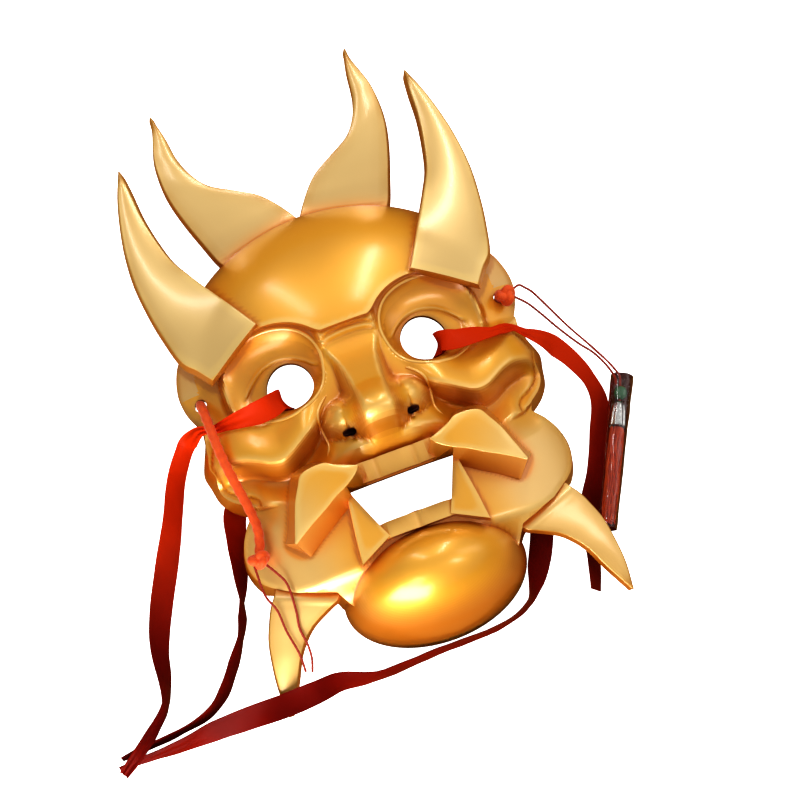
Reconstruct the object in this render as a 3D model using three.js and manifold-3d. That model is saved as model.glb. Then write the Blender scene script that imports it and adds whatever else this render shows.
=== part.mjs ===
// A gold demon mask that lies face up, with the ribbons and cords that tie it on.
// Millimetres. +Z comes out of the face, +Y runs up to the horns, and X = 0 halves the mask.
// The face is measured from the middle of its eye line and from the floor it lies on.
import * as THREE from "three";
import { mergeVertices } from "three/addons/utils/BufferGeometryUtils.js";
import Module from "manifold-3d";

const wasm = await Module();
wasm.setup();

// Driving sizes of the shell
const wall = 3;
const floorZ = 0;
const middleY = 12.05;
const rimLift = 8;
const jawLift = 20;
const earLift = 19;

// Broad form of the face
const cranium = { y: 18, z: -10, rx: 93, up: 80, down: 80, rz: 76 };
const cheeks = { crown: 57, fall: 33, reach: 90, power: 2.6 };
const browArch = { x: 42.5, y: 3.5, rx: 33, ry: 28.7, middle: 18.1 };
const socket = { x: 41.7, y: 7.3, rx: 25.8, ry: 23.2, power: 2.3, depth: 9, wall: 15 };
const eyeball = { x: 39, y: -1, rx: 21, ry: 19, bulge: 1.6 };
const eyeHole = { x: 35.9, y: 0.4, rx: 12, ry: 13 };
const pouch = { rise: 6.5, hollow: 10, drop: 8, depth: 27, crown: 21 };
const earPlate = { x: 70, z: 33, fall: 0.45 };
const lobeFall = { upper: 4, lower: 5, reach: 6, lean: 8, step: 6, back: 15 };
const lobeLine = [[56, -52.5], [65.8, -50.3], [74, -47.5], [79, -44.5], [98, -43]];
const browEnd = [[66, 24], [70, 32], [78, 47], [98, 49]];
const pouchEdge = [
  [16, -9], [22, -13.5], [30.6, -22.9], [39.5, -28.9], [49.3, -33.9], [54.3, -34], [59.5, -32],
  [64.5, -28.8], [70, -25.8], [76, -23.9], [84, -23.6], [98, -27],
];
const ridge = [
  [-47, 60], [-43, 64], [-40.5, 71], [-38, 79], [-34, 84.5], [-30, 84], [-20, 77], [-10, 69.5],
  [0, 62.5], [8, 58.5], [14, 57], [20, 60.5],
];
const ridgeFlat = [[-44, 5], [-34, 6], [-24, 6], [-12, 7], [0, 9], [8, 12], [14, 13], [20, 14]];
const ridgeWidth = [[-44, 20], [-34, 22], [-24, 21], [-12, 20], [0, 20], [8, 22], [14, 25], [20, 27]];
const noseFoot = 38;
const noseTip = { x: 0, y: -30.5, z: 57, rx: 17, ry: 15, rz: 27, soft: 14 };
const wing = { x: 16, y: -27.5, z: 44, rx: 14.5, ry: 14, rz: 27.5, soft: 12 };
const nostril = { x: 14.4, y: -35.8, z: 65, rx: 4.6, ry: 1.8, rz: 5 };
const lip = { y: -44.5, foot: -51.6, z: 65.5, width: 33 };
const chin = { y: -111, z: 2, rx: 48.5, up: 28.8, down: 30.5, rz: 74 };

// Mouth, teeth and tusks
const mouth = { top: -61.8, bottom: -83.3, sag: 1.4, topHalf: 27.6, bottomHalf: 18.8 };
const teeth = { z: 60.5, back: 53, groove: 0.9, grooveWidth: 0.9 };
const upperTeeth = { top: -51, bottom: -61.2, grooves: [-10, 10] };
const lowerTeeth = { top: -83, bottom: -91, grooves: [0] };
const earHole = { x: 81.3, y: 12, r: 3.2 };

// Half outline of the rim where it meets the floor, from the crown down: x, y and how far the wall leans in.
const crownRim = { rx: 92, ry: 79, from: 90, to: 28, step: 15 };
const earRim = [[80.5, 41, 0], [85.5, 36.5, 0], [89.3, 28.5, 0], [90.9, 20, 0], [90, 12, 0], [87.3, 5, 0], [85, 0.5, 0]];
const upperLobeRim = [
  [87.2, -3.5, 3], [91.5, -11, 7], [94.6, -19.5, 9], [93.2, -27.5, 9], [91, -36, 8], [86, -42.5, 6], [77.5, -48.3, 3],
];
const lowerLobeRim = [
  [82.3, -54, 3], [86.6, -61.4, 3], [88.8, -68.7, 3], [89, -75, 3], [87.6, -81, 3], [84.6, -87, 3], [80.5, -91.5, 3],
];
const jawRim = [[70, -99, 3], [59, -103.5, 3], [50.5, -106.5, 3]];
const chinRim = [[44, -112, 0], [38, -119, 0], [26, -125, 0], [12, -128, 0]];
const leanHeight = 32;

// The hollow runs on under the brow.
const browPassage = { worn: 16, reach: 6 };

// Blades: edges from root to tip, with the height of the front face at each point.
const flame = {
  inner: [[-6, 78, 22], [1, 94, 14], [8, 104.5, 14.5], [16, 112.8, 15.5], [26.3, 118.8, 16.5], [38.5, 126, 17],
    [45, 134.5, 17], [49.3, 146, 16], [52, 163, 15], [54.6, 174, 14]],
  outer: [[33, 68, 22], [45.5, 82, 14], [52.6, 99.4, 15], [58, 115.5, 16.5], [60.7, 127, 17],
    [61.6, 138, 17], [61, 149.5, 16], [58.5, 159.5, 15], [56.2, 167.5, 14.5], [55.4, 174, 14]],
  thick: 7, flare: 1, crown: 1.2,
};
const horn = {
  inner: [[41, 33.6, 61.5], [47.9, 46.6, 55], [53.3, 56.9, 48], [60.5, 70, 40.5], [66, 80.5, 36],
    [70.3, 89.5, 32.5], [74.4, 104.8, 28], [77.2, 120.5, 24.5], [78.5, 137, 21], [79.8, 149, 19]],
  outer: [[71, 16.4, 50], [77, 25, 47.5], [82.2, 31.3, 46], [87.8, 51.7, 40], [90.5, 68, 36],
    [92, 85.5, 32], [91.2, 104, 28], [88.5, 121.5, 24.5], [84.8, 137.5, 21], [80.6, 149.6, 19]],
  thick: 8, flare: 1.2, crown: 1.5,
};
const upperTusk = {
  inner: [[18.7, -54.3, 72.5], [20.5, -57, 73], [26.2, -61.2, 73], [34, -64.9, 72], [40.7, -68.8, 71],
    [48.5, -72.8, 69.5], [54.4, -76.1, 68], [59.6, -79.2, 66.5]],
  outer: [[19.2, -53.6, 72.5], [30, -49.3, 73], [34, -47.1, 73], [46.2, -48.3, 71.5], [49.8, -53.5, 71],
    [53.5, -60.1, 70], [57.2, -69.5, 68], [60.4, -78.4, 66.5]],
  thick: 19, flare: 6.5, crown: 0.8,
};
const fang = {
  inner: [[15.6, -90, 61.5], [18.6, -83.3, 61.5], [23.3, -71.8, 61.5], [27.2, -61, 61.5]],
  outer: [[33, -99, 61.5], [31.8, -87, 61.5], [30.1, -74, 61.5], [28, -60.6, 61.5]],
  thick: 8, flare: 0.6, crown: 0,
};
const jawTusk = {
  inner: [[46, -99, 34], [50, -106.8, 37], [55, -109, 35.5], [65.5, -113.9, 32], [71.6, -119, 29],
    [76.6, -125.2, 26], [82.6, -136.3, 20], [90.8, -149.9, 13]],
  outer: [[74, -84, 26], [79, -93.9, 34], [82.1, -98.1, 33], [85.7, -105, 30], [88.9, -112.6, 27],
    [91, -122.4, 24], [92.6, -136, 19], [92, -149.9, 13]],
  thick: 6, flare: 0.8, crown: 1,
};

// Net of the shell: columns in step, rows that follow the creases of the face
const netHalf = 98;
const columnStep = 7;
const innerStep = 11;
const innerReach = 7;
const netBottom = -132;
const rowCounts = { eyes: 7, cheek: 4, drop: 2, lip: 2, jaw: 6, chin: 3 };
const domeSides = 28;
const hollowSides = 16;

// Ribbons: a strip through each eye hole. Each station has x, y, z, the turn on edge in degrees, and the width.
const ribbonThick = 0.7;
const leftRibbon = [
  [-180, -147.8, 6, 0, 5], [-168.9, -140.8, 11.9, 33, 7], [-156.3, -130.1, 8, 62, 9], [-149.1, -122, 6.9, 81, 12],
  [-145.5, -109.9, 6.3, 63, 12], [-142.7, -93.6, 5.2, 44, 12], [-136.5, -76.7, 3.4, 24, 12],
  [-126.3, -55.6, 2.1, 11, 12], [-116.6, -37, 4.8, 40, 12], [-105.5, -13.2, 5.8, 46, 12], [-96.3, -2.5, 13, 57, 11],
  [-90.4, -0.8, 23, 35, 8], [-85.2, -1.2, 31, 30, 5], [-79.9, -3.4, 33.3, 45, 4], [-73.8, -5.2, 41, 45, 6],
  [-66.2, -6.6, 47.4, 42, 9], [-56.4, -7.8, 52.8, 32, 12], [-48.5, -7.2, 54.2, 22, 12], [-43.6, -5.2, 51.6, 8, 11],
  [-41.4, -4, 46, 0, 11], [-41.6, -5.2, 38, 0, 11], [-45.5, -9.5, 29, 0, 12], [-55, -17, 19, 0, 12],
  [-68, -28, 8, 0, 12], [-76, -34.5, 4, 0, 12], [-83.6, -41, 3, 8, 12], [-88.2, -57, 5.4, 38, 12],
  [-91.8, -72.8, 6, 56, 12], [-95.6, -86, 7, 83, 12], [-98.2, -94.2, 6.8, 74, 12], [-102.6, -103.7, 6.9, 80, 12],
  [-110.3, -114.8, 6.6, 69, 12], [-119.5, -126.4, 6.6, 69, 12], [-129.7, -133.6, 6.3, 73, 11],
  [-146.4, -137, 4.9, 77, 8], [-168.6, -138.6, 3.2, 63, 5], [-178.8, -139.6, 2.3, 58, 3],
];
const rightRibbon = [
  [74.6, -143.7, 6.2, 61, 12], [79.4, -129, 5.8, 54, 12], [83.2, -113.2, 5.1, 43, 12], [90.1, -98.8, 2.2, 10, 11],
  [98.3, -86.3, 2.2, 10, 11], [107.4, -66.7, 3.6, 26, 12], [112.8, -51.4, 5.2, 39, 12], [111.4, -39.7, 8.2, 44, 12],
  [106.8, -28.5, 11.1, 31, 12], [100, -19.3, 16.1, 21, 12], [93, -14.5, 25.1, 24, 9], [86.6, -10.4, 29, 18, 5],
  [80.9, -6.4, 32.2, 30, 5], [71.1, -7.9, 44.7, 45, 8], [60.4, -7.5, 51.2, 36, 12], [49.4, -7.2, 54.6, 22, 12],
  [43.6, -4.9, 52, 8, 11], [41.2, -4.1, 46, 0, 11], [41.4, -5.2, 38, 0, 11], [45.5, -9.7, 29, 0, 12],
  [53, -20, 19, 0, 12], [58, -38, 13, 0, 12], [60, -66, 10, 0, 12], [61.5, -92, 7, 0, 12], [60.5, -104, 4, 0, 12],
  [56.8, -113, 2.6, 0, 12], [51.8, -122, 3.4, 22, 12], [46.4, -130.5, 5.4, 55, 12], [40.5, -138, 6.6, 80, 12],
  [25.9, -143.6, 6.8, 84, 12], [-11.6, -144.8, 6.8, 80, 12], [-45.2, -145.8, 7.9, 74, 12], [-62.6, -143, 14.5, 48, 12],
  [-76.1, -141.9, 22.6, 25, 12], [-91.7, -141.5, 21, 0, 12], [-110.3, -141.2, 11.5, 24, 12],
  [-130.6, -142, 5.9, 41, 12], [-148.5, -144, 5.1, 59, 10], [-164.4, -144, 3.9, 63, 7], [-181.3, -143.8, 2.4, 63, 3.5],
];

// Cords, strings and their knots
const cordSides = 8;
const earCord = {
  radius: 2.6, steps: 18,
  route: [[-81.3, 12, 25], [-81.3, 12, 29], [-81, 9.5, 33.4], [-80.7, 3.5, 37], [-80.5, -6.1, 39.9], [-79.7, -21.4, 42.4],
    [-77.7, -36.8, 42.4], [-75.7, -50.4, 42], [-75.2, -60.7, 41.6], [-76.8, -68, 41.2]],
};
const thread = { radius: 0.65, sides: 8, steps: 12 };
const leftStrings = [
  [[-76.2, -80.6, 40.6], [-73.8, -84.4, 40.6], [-70.9, -90.8, 40], [-71.1, -104.3, 36.4], [-72.5, -113.3, 32.6],
    [-71.5, -121.8, 29.8], [-72, -128.7, 27.4], [-74, -134.8, 25.8]],
  [[-84.6, -80.8, 38.4], [-82.8, -93.1, 37.4], [-79.9, -101, 35.8], [-79, -112.5, 32.4], [-76.9, -124.7, 29],
    [-77, -133.6, 26.6]],
];
const rightStrings = [
  [[91.2, 13.6, 31], [92.6, 13.9, 30.8], [94.9, 12.4, 29], [97.9, 9.8, 26.5], [101.6, 4.6, 22], [111.2, -11.8, 13],
    [119.1, -25.1, 9], [125.3, -37.9, 7.6], [126.9, -44.4, 7.4], [125.6, -48.6, 7.3]],
  [[90.8, 8.2, 30], [93.9, 4.9, 25], [98.8, -0.3, 19], [105.4, -9.6, 13], [113.1, -20.5, 9], [119.1, -28.1, 7.4],
    [123.4, -37.6, 6.4], [124.6, -44, 6.2], [123.6, -48, 6.4]],
];
const leftKnot = { x: -79.7, y: -75.4, z: 41, rx: 6.2, ry: 4.8, rz: 4.6 };
const rightKnot = { x: 84.8, y: 10, z: 33, rx: 5.7, ry: 5.7, rz: 4.3 };
const knotStub = { x: 81.6, y: 11.9, radius: 1.7, from: 20 };

// Pendant: everything lies on one line, from the mouth of its clear sleeve to the end of its tassel.
const pendant = { from: [128.2, -44.6, 7], to: [90.4, -118, 13.2] };
const bead = { at: 8.6, radius: 3.3 };
const cap = { at: 13, profile: [[0, 0], [1.7, 0], [2.7, 1.6], [3.5, 5], [3.9, 9], [4.2, 13.5], [3.6, 13.5], [2.9, 6], [0, 4]] };
const tassel = { at: 27.2, profile: [[0, 0], [2.6, 0], [3.4, 3], [3.7, 20], [4.3, 51], [0, 51]] };
const sleeve = { length: 82, mouth: 6.4, end: 5.3, film: 0.4, sides: 20 };

const gold = { color: 0xdc9035, roughness: 0.32, metalness: 1 };
const redSatin = { color: 0xb01c08, roughness: 0.38, metalness: 0 };
const orangeCord = { color: 0xd94c1a, roughness: 0.7, metalness: 0 };
const redThread = { color: 0xa03018, roughness: 0.7, metalness: 0 };
const greenGlass = { color: 0x2f6b40, roughness: 0.15, metalness: 0 };
const silverMetal = { color: 0xb9bcc0, roughness: 0.25, metalness: 1 };
const redYarn = { color: 0xb8200c, roughness: 0.75, metalness: 0 };
const clearFilm = { color: 0xf2f4f4, roughness: 0.08, metalness: 0, transparent: true, opacity: 0.25 };

const clamp = (t, low, high) => Math.min(high, Math.max(low, t));

function ease(from, to, t) {
  const share = clamp((t - from) / (to - from), 0, 1);
  return share * share * (3 - 2 * share);
}

function blendMax(a, b, soft) {
  const h = Math.max(soft - Math.abs(a - b), 0) / soft;
  return Math.max(a, b) + (h * h * soft) / 4;
}

// A smooth line through a few points, read at one abscissa.
function lineAt(points, t) {
  const last = points.length - 1;
  if (t <= points[0][0]) return points[0][1];
  if (t >= points[last][0]) return points[last][1];
  const i = points.findIndex((p) => p[0] > t) - 1;
  const slope = (a, b) => (points[b][1] - points[a][1]) / (points[b][0] - points[a][0]);
  const span = points[i + 1][0] - points[i][0];
  const share = (t - points[i][0]) / span;
  const start = slope(Math.max(i - 1, 0), i + 1) * span;
  const end = slope(i, Math.min(i + 2, last)) * span;
  const s2 = share * share;
  const s3 = s2 * share;
  return (2 * s3 - 3 * s2 + 1) * points[i][1] + (s3 - 2 * s2 + share) * start
    + (3 * s2 - 2 * s3) * points[i + 1][1] + (s3 - s2) * end;
}

function domeShare(dx, dy) {
  return Math.sqrt(Math.max(0, 1 - dx * dx - dy * dy));
}

// The brow's lower edge: flat over the nose and arched over each eye.
function browLine(ax) {
  const across = (ax - browArch.x) / browArch.rx;
  const arch = browArch.y + browArch.ry * Math.sqrt(Math.max(0, 1 - across * across));
  return ax < browArch.x ? blendMax(browArch.middle, arch, 4) : Math.max(arch, 14);
}

function pouchLine(ax) {
  return lineAt(pouchEdge, ax);
}

function cheekHeight(ax) {
  return cheeks.crown - cheeks.fall * (ax / cheeks.reach) ** cheeks.power;
}

function socketReach(ax, y) {
  const dx = Math.abs(ax - socket.x) / socket.rx;
  const dy = Math.abs(y - socket.y) / socket.ry;
  return (dx ** socket.power + dy ** socket.power) ** (1 / socket.power);
}

// The bowl round each eye, with the eyeball that swells out of it.
function socketDepth(ax, y) {
  const inside = (Math.max(1 - socketReach(ax, y), 0) * (socket.rx + socket.ry)) / 2;
  const bowl = 1 - (1 - Math.min(inside / socket.wall, 1)) ** 2.2;
  const away = Math.min(Math.hypot((ax - eyeball.x) / eyeball.rx, (y - eyeball.y) / eyeball.ry), 1);
  return (socket.depth * bowl - eyeball.bulge * (1 - away * away)) * ease(-18, -8, y);
}

// The bag under each eye, the fall below its edge and the slow rise after it.
function pouchHeight(ax, y) {
  const above = y - pouchLine(ax);
  const width = ease(20, 38, ax) * (1 - 0.8 * ease(72, 92, ax));
  if (above >= 0) return pouch.rise * width * (1 - ease(1, pouch.crown, above));
  const fallen = ease(0, pouch.drop, -above);
  const back = 1 - ease(pouch.drop, pouch.depth, -above);
  return width * (pouch.rise * (1 - fallen) - pouch.hollow * fallen * back);
}

function noseHeight(ax, y) {
  const top = lineAt(ridge, y);
  let height = noseFoot + (top - noseFoot) * (1 - ease(lineAt(ridgeFlat, y), lineAt(ridgeWidth, y), ax));
  for (const part of [noseTip, wing]) {
    const round = domeShare((ax - part.x) / part.rx, (y - part.y) / part.ry) ** 1.6;
    height = blendMax(height, round > 0 ? part.z + part.rz * round : 0, part.soft);
  }
  return height;
}

function lipHeight(ax, y) {
  const fade = 1 - ease(lip.width * 0.35, lip.width, ax);
  const below = ease(lip.y + 1, lip.foot, y);
  const above = ease(lip.y + 1, lip.y + 14, y);
  return (lip.z - 56.5) * fade * (1 - below) * (1 - above);
}

// How far a point lies inside the rim.
function rimDistance(ax, y) {
  let nearest = Infinity;
  for (let i = 0; i < sideRim.length - 1; i += 1) {
    const [x0, y0] = sideRim[i];
    const dx = sideRim[i + 1][0] - x0;
    const dy = sideRim[i + 1][1] - y0;
    const share = clamp(((ax - x0) * dx + (y - y0) * dy) / (dx * dx + dy * dy), 0, 1);
    nearest = Math.min(nearest, Math.hypot(ax - x0 - share * dx, y - y0 - share * dy));
  }
  return nearest;
}

// The rounded border of the two cheek lobes and the step where the upper one overhangs the lower.
function lobeShape(ax, y) {
  if (ax < 54) return 0;
  const below = lineAt(lobeLine, ax) - y;
  const onUpper = (1 - ease(0, 2, below)) * (1 - ease(-6, 0, y));
  const onLower = ease(0, 2, below);
  const depth = lobeFall.upper * onUpper + lobeFall.lower * onLower;
  const inside = rimDistance(ax, y) - lobeFall.lean * onUpper;
  const near = clamp(1 - inside / lobeFall.reach, 0, 1);
  const rounding = depth * (1 - Math.sqrt(1 - near * near));
  const step = below > 0 ? ease(0, 2, below) * (1 - ease(2, lobeFall.back, below)) * ease(56, 74, ax) : 0;
  return -rounding - lobeFall.step * step;
}

// Height of the face over the floor, without the brow, the chin and the blades that stand on it.
function frontHeight(x, y) {
  const ax = Math.abs(x);
  const middle = cheekHeight(ax) - 3 * ease(-70, -105, y) - 14 * ease(-97, -112, y);
  const relief = middle - socketDepth(ax, y) + pouchHeight(ax, y) + lipHeight(ax, y) + lobeShape(ax, y);
  if (y <= -48) return relief;
  const plate = earPlate.z - earPlate.fall * (ax - earPlate.x);
  const onEar = ease(1, 1.12, socketReach(ax, y)) * ease(58, 64, ax) * ease(-10, 1, y);
  const withNose = ax < 40 ? blendMax(relief, noseHeight(ax, y), 4) : relief;
  return withNose * (1 - onEar) + plate * onEar;
}

// The inner face: a wall's thickness under the lowest point of the front nearby.
function innerHeight(x, y) {
  let height = frontHeight(x, y);
  for (let i = 0; i < 8; i += 1) {
    const turn = (i * Math.PI) / 4;
    for (const reach of [innerReach / 2, innerReach]) {
      height = Math.min(height, frontHeight(x + reach * Math.cos(turn), y + reach * Math.sin(turn)));
    }
  }
  return height - wall;
}

// Height of the rim over the floor: it rests at the crown and the chin and is lifted between them.
function rimHeight(x, y) {
  const ax = Math.abs(x);
  const side = ease(52, 66, ax) * (1 - ease(48, 62, y)) * ease(-112, -104, y);
  const ear = ease(70, 80, ax) * ease(-6, 2, y) * (1 - ease(44, 54, y));
  const jaw = ease(-84, -94, y) * ease(46, 54, ax) * ease(-114, -108, y);
  return floorZ + Math.max(rimLift * side, earLift * ear, jawLift * jaw);
}

function geometryFrom(positions, faces) {
  const geometry = new THREE.BufferGeometry();
  geometry.setAttribute("position", new THREE.Float32BufferAttribute(positions, 3));
  geometry.setIndex(faces);
  return geometry;
}

function solidOf(geometry) {
  const bare = geometry.clone();
  bare.deleteAttribute("normal");
  bare.deleteAttribute("uv");
  const merged = mergeVertices(bare, 1e-4);
  return new wasm.Manifold(new wasm.Mesh({
    numProp: 3,
    vertProperties: new Float32Array(merged.attributes.position.array),
    triVerts: new Uint32Array(merged.index.array),
  }));
}

function geometryOf(solid) {
  const mesh = solid.getMesh();
  return geometryFrom(Array.from(mesh.vertProperties), Array.from(mesh.triVerts));
}

// A closed block over a net of columns and rows, between two height functions.
function netBlock(xs, rowsAt, topAt, underAt) {
  const positions = [];
  const faces = [];
  const rows = rowsAt(0).length;
  const columns = xs.length;
  for (const layer of [topAt, underAt]) {
    for (const x of xs) {
      for (const y of rowsAt(Math.abs(x))) positions.push(x, y, layer(x, y));
    }
  }
  const under = columns * rows;
  const quad = (a, b, c, d) => faces.push(a, b, c, a, c, d);
  for (let i = 0; i < columns - 1; i += 1) {
    for (let j = 0; j < rows - 1; j += 1) {
      const a = i * rows + j;
      const b = a + rows;
      if (xs[i] < 0) {
        faces.push(a, a + 1, b + 1, a, b + 1, b);
        faces.push(under + a, under + b + 1, under + a + 1, under + a, under + b, under + b + 1);
      } else {
        faces.push(a, a + 1, b, b, a + 1, b + 1);
        faces.push(under + a, under + b, under + a + 1, under + b, under + b + 1, under + a + 1);
      }
    }
    const first = i * rows;
    const last = first + rows - 1;
    quad(first, first + rows, under + first + rows, under + first);
    quad(last + rows, last, under + last, under + last + rows);
  }
  for (let j = 0; j < rows - 1; j += 1) {
    const end = (columns - 1) * rows + j;
    quad(j + 1, j, under + j, under + j + 1);
    quad(end, end + 1, under + end + 1, under + end);
  }
  return geometryFrom(positions, faces);
}

function netColumns(step) {
  const half = Math.ceil(netHalf / step);
  return Array.from({ length: 2 * half + 1 }, (_, i) => (i - half) * step);
}

// The top row of the net, hidden under the brow and the horns.
function netTopLine(ax) {
  return ax < browEnd[0][0] ? browLine(ax) + 1.5 : lineAt(browEnd, ax);
}

// Rows from the brow down, set close on both sides of the pouch edge.
function creaseRows(ax) {
  const marks = [
    [netTopLine(ax), rowCounts.eyes],
    [-6, rowCounts.cheek],
    [pouchLine(ax) + 0.3, rowCounts.drop],
    [pouchLine(ax) - pouch.drop, rowCounts.lip],
    [lineAt(lobeLine, ax) + 0.3, 1],
    [lineAt(lobeLine, ax) - 2, rowCounts.jaw],
    [-91, rowCounts.chin],
    [netBottom, 0],
  ];
  const rows = [];
  marks.slice(0, -1).forEach(([from, count], i) => {
    for (let k = 0; k < count; k += 1) rows.push(from + ((marks[i + 1][0] - from) * k) / count);
  });
  rows.push(netBottom);
  return rows;
}

function evenRows(ax) {
  const top = netTopLine(ax) - 1.5;
  const count = Math.round((50 - netBottom) / innerStep);
  return Array.from({ length: count + 1 }, (_, k) => top + ((netBottom - top) * k) / count);
}

function smoothHalf(points, count) {
  const curve = new THREE.CatmullRomCurve3(points.map((p) => new THREE.Vector3(...p)));
  return curve.getPoints(count).map((p) => [p.x, p.y, p.z]);
}

function crownPoints() {
  const points = [];
  for (let turn = crownRim.from; turn > crownRim.to; turn -= crownRim.step) {
    const a = THREE.MathUtils.degToRad(turn);
    points.push([crownRim.rx * Math.cos(a), cranium.y + crownRim.ry * Math.sin(a), 0]);
  }
  return points;
}

const sideRim = [...smoothHalf(earRim, 7), ...smoothHalf(upperLobeRim, 8), ...smoothHalf(lowerLobeRim, 8), ...jawRim];

// The whole rim outline, anticlockwise from the crown, each point with its lean.
function rimOutline() {
  const right = [...crownPoints(), ...sideRim, ...chinRim];
  const left = right.slice(1).map(([x, y, lean]) => [-x, y, lean]);
  return [...left, [0, -128.5, 0], ...right.reverse()];
}

// A prism on the rim outline. Its wall leans in up to leanHeight and is upright above that.
function rimPrism(outline, inset, base) {
  const count = outline.length;
  const inward = outline.map((_, i) => {
    const a = outline[(i + count - 1) % count];
    const b = outline[(i + 1) % count];
    const along = new THREE.Vector2(b[0] - a[0], b[1] - a[1]).normalize();
    return [-along.y, along.x];
  });
  const ring = (height, share) => outline.flatMap(([x, y, lean], i) => {
    const shift = inset(x, y) + lean * share;
    return [x + shift * inward[i][0], y + shift * inward[i][1], height];
  });
  const positions = [...ring(base, 0), ...ring(leanHeight, 1), ...ring(120, 1)];
  const faces = [];
  for (let level = 0; level < 2; level += 1) {
    for (let i = 0; i < count; i += 1) {
      const a = level * count + i;
      const b = level * count + ((i + 1) % count);
      faces.push(a, b, b + count, a, b + count, a + count);
    }
  }
  const cap = (first) => THREE.ShapeUtils.triangulateShape(
    outline.map((_, i) => new THREE.Vector2(positions[3 * (i + first)], positions[3 * (i + first) + 1])), []);
  for (const [a, b, c] of cap(0)) faces.push(c, b, a);
  for (const [a, b, c] of cap(2 * count)) faces.push(a + 2 * count, b + 2 * count, c + 2 * count);
  return geometryFrom(positions, faces);
}

// Turns a closed mesh's faces outward where its volume comes out negative.
function orientOut(geometry) {
  const p = geometry.attributes.position;
  const index = geometry.index.array;
  const corner = [new THREE.Vector3(), new THREE.Vector3(), new THREE.Vector3()];
  let volume = 0;
  for (let i = 0; i < index.length; i += 3) {
    corner.forEach((v, k) => v.fromBufferAttribute(p, index[i + k]));
    volume += corner[0].dot(corner[1].clone().cross(corner[2]));
  }
  if (volume < 0) {
    for (let i = 0; i < index.length; i += 3) [index[i], index[i + 1]] = [index[i + 1], index[i]];
  }
  return geometry;
}

// A blade between two edges: crowned front, bevelled arrises, sides that flare towards a flat back.
function bladeGeometry({ inner, outer, thick, flare, crown }, steps, mirror) {
  const edge = (points) => {
    const curve = new THREE.CatmullRomCurve3(points.map((p) => new THREE.Vector3(...p)), false, "centripetal");
    return Array.from({ length: steps + 1 }, (_, i) => curve.getPoint(i / steps));
  };
  const a = edge(inner);
  const b = edge(outer);
  const bevel = 0.9;
  const rings = a.map((from, i) => {
    const to = b[i];
    const across = to.clone().sub(from);
    const width = across.length();
    across.divideScalar(width);
    const soft = Math.min(bevel, width / 3);
    const place = (reach, drop) => from.clone().addScaledVector(across, reach).add(new THREE.Vector3(0, 0, -drop));
    return [
      place(-flare, thick), place(0, soft), place(soft, 0),
      place(width / 2, -crown * Math.min(1, width / 20)),
      place(width - soft, 0), place(width, soft), place(width + flare, thick),
    ];
  });
  const sides = rings[0].length;
  const positions = rings.flat().flatMap((p) => [mirror * p.x, p.y, p.z]);
  const faces = [];
  for (let i = 0; i < steps; i += 1) {
    for (let k = 0; k < sides; k += 1) {
      const p = i * sides + k;
      const q = i * sides + ((k + 1) % sides);
      faces.push(p, q, q + sides, p, q + sides, p + sides);
    }
  }
  const end = steps * sides;
  for (let k = 1; k < sides - 1; k += 1) {
    faces.push(0, k + 1, k);
    faces.push(end, end + k, end + k + 1);
  }
  return orientOut(geometryFrom(positions, faces));
}

// The part of a dome above the floor, with its own reach to each side of the middle.
function domeAboveFloor({ y, z, rx, up, down, rz }, worn) {
  const sides = worn > 0 ? hollowSides : domeSides;
  const geometry = new THREE.SphereGeometry(1, sides, sides / 2);
  geometry.rotateX(Math.PI / 2);
  const p = geometry.attributes.position;
  for (let i = 0; i < p.count; i += 1) {
    const reach = (p.getY(i) > 0 ? up : down) - worn;
    p.setXYZ(i, p.getX(i) * (rx - worn), p.getY(i) * reach + y, p.getZ(i) * (rz - worn) + z);
  }
  const above = new THREE.BoxGeometry(400, 400, 200);
  above.translate(0, 0, 100 + floorZ - worn);
  return solidOf(geometry).intersect(solidOf(above));
}

// Everything above the brow's lower edge.
function browBlock(gap) {
  const half = Array.from({ length: 27 }, (_, i) => (i * browEnd[0][0]) / 26).map((x) => [x, browLine(x) + gap]);
  const points = [...half, ...browEnd.map(([x, y]) => [x, y + gap]), [110, 60], [110, 120]];
  const all = [...points.map(([x, y]) => [-x, y]).reverse(), ...points.slice(1)];
  const shape = new THREE.Shape(all.map(([x, y]) => new THREE.Vector2(x, y)));
  const geometry = new THREE.ExtrudeGeometry(shape, { depth: 200, bevelEnabled: false });
  geometry.translate(0, 0, -50);
  return solidOf(geometry);
}

function ellipsoid({ x, y, z, rx, ry, rz }, side) {
  const geometry = new THREE.SphereGeometry(1, 12, 8);
  geometry.scale(rx, ry, rz);
  geometry.translate(side * x, y, z);
  return geometry;
}

function uprightHole(x, y, rx, ry, sides) {
  const geometry = new THREE.CylinderGeometry(1, 1, 200, sides);
  geometry.rotateX(Math.PI / 2);
  geometry.scale(rx, ry, 1);
  geometry.translate(x, y, 60);
  return geometry;
}

function mouthHole() {
  const shape = new THREE.Shape();
  shape.moveTo(-mouth.topHalf, mouth.top);
  shape.lineTo(-mouth.bottomHalf, mouth.bottom);
  shape.lineTo(0, mouth.bottom + mouth.sag);
  shape.lineTo(mouth.bottomHalf, mouth.bottom);
  shape.lineTo(mouth.topHalf, mouth.top);
  const geometry = new THREE.ExtrudeGeometry(shape, { depth: 120, bevelEnabled: false });
  geometry.translate(0, 0, -10);
  return geometry;
}

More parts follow.
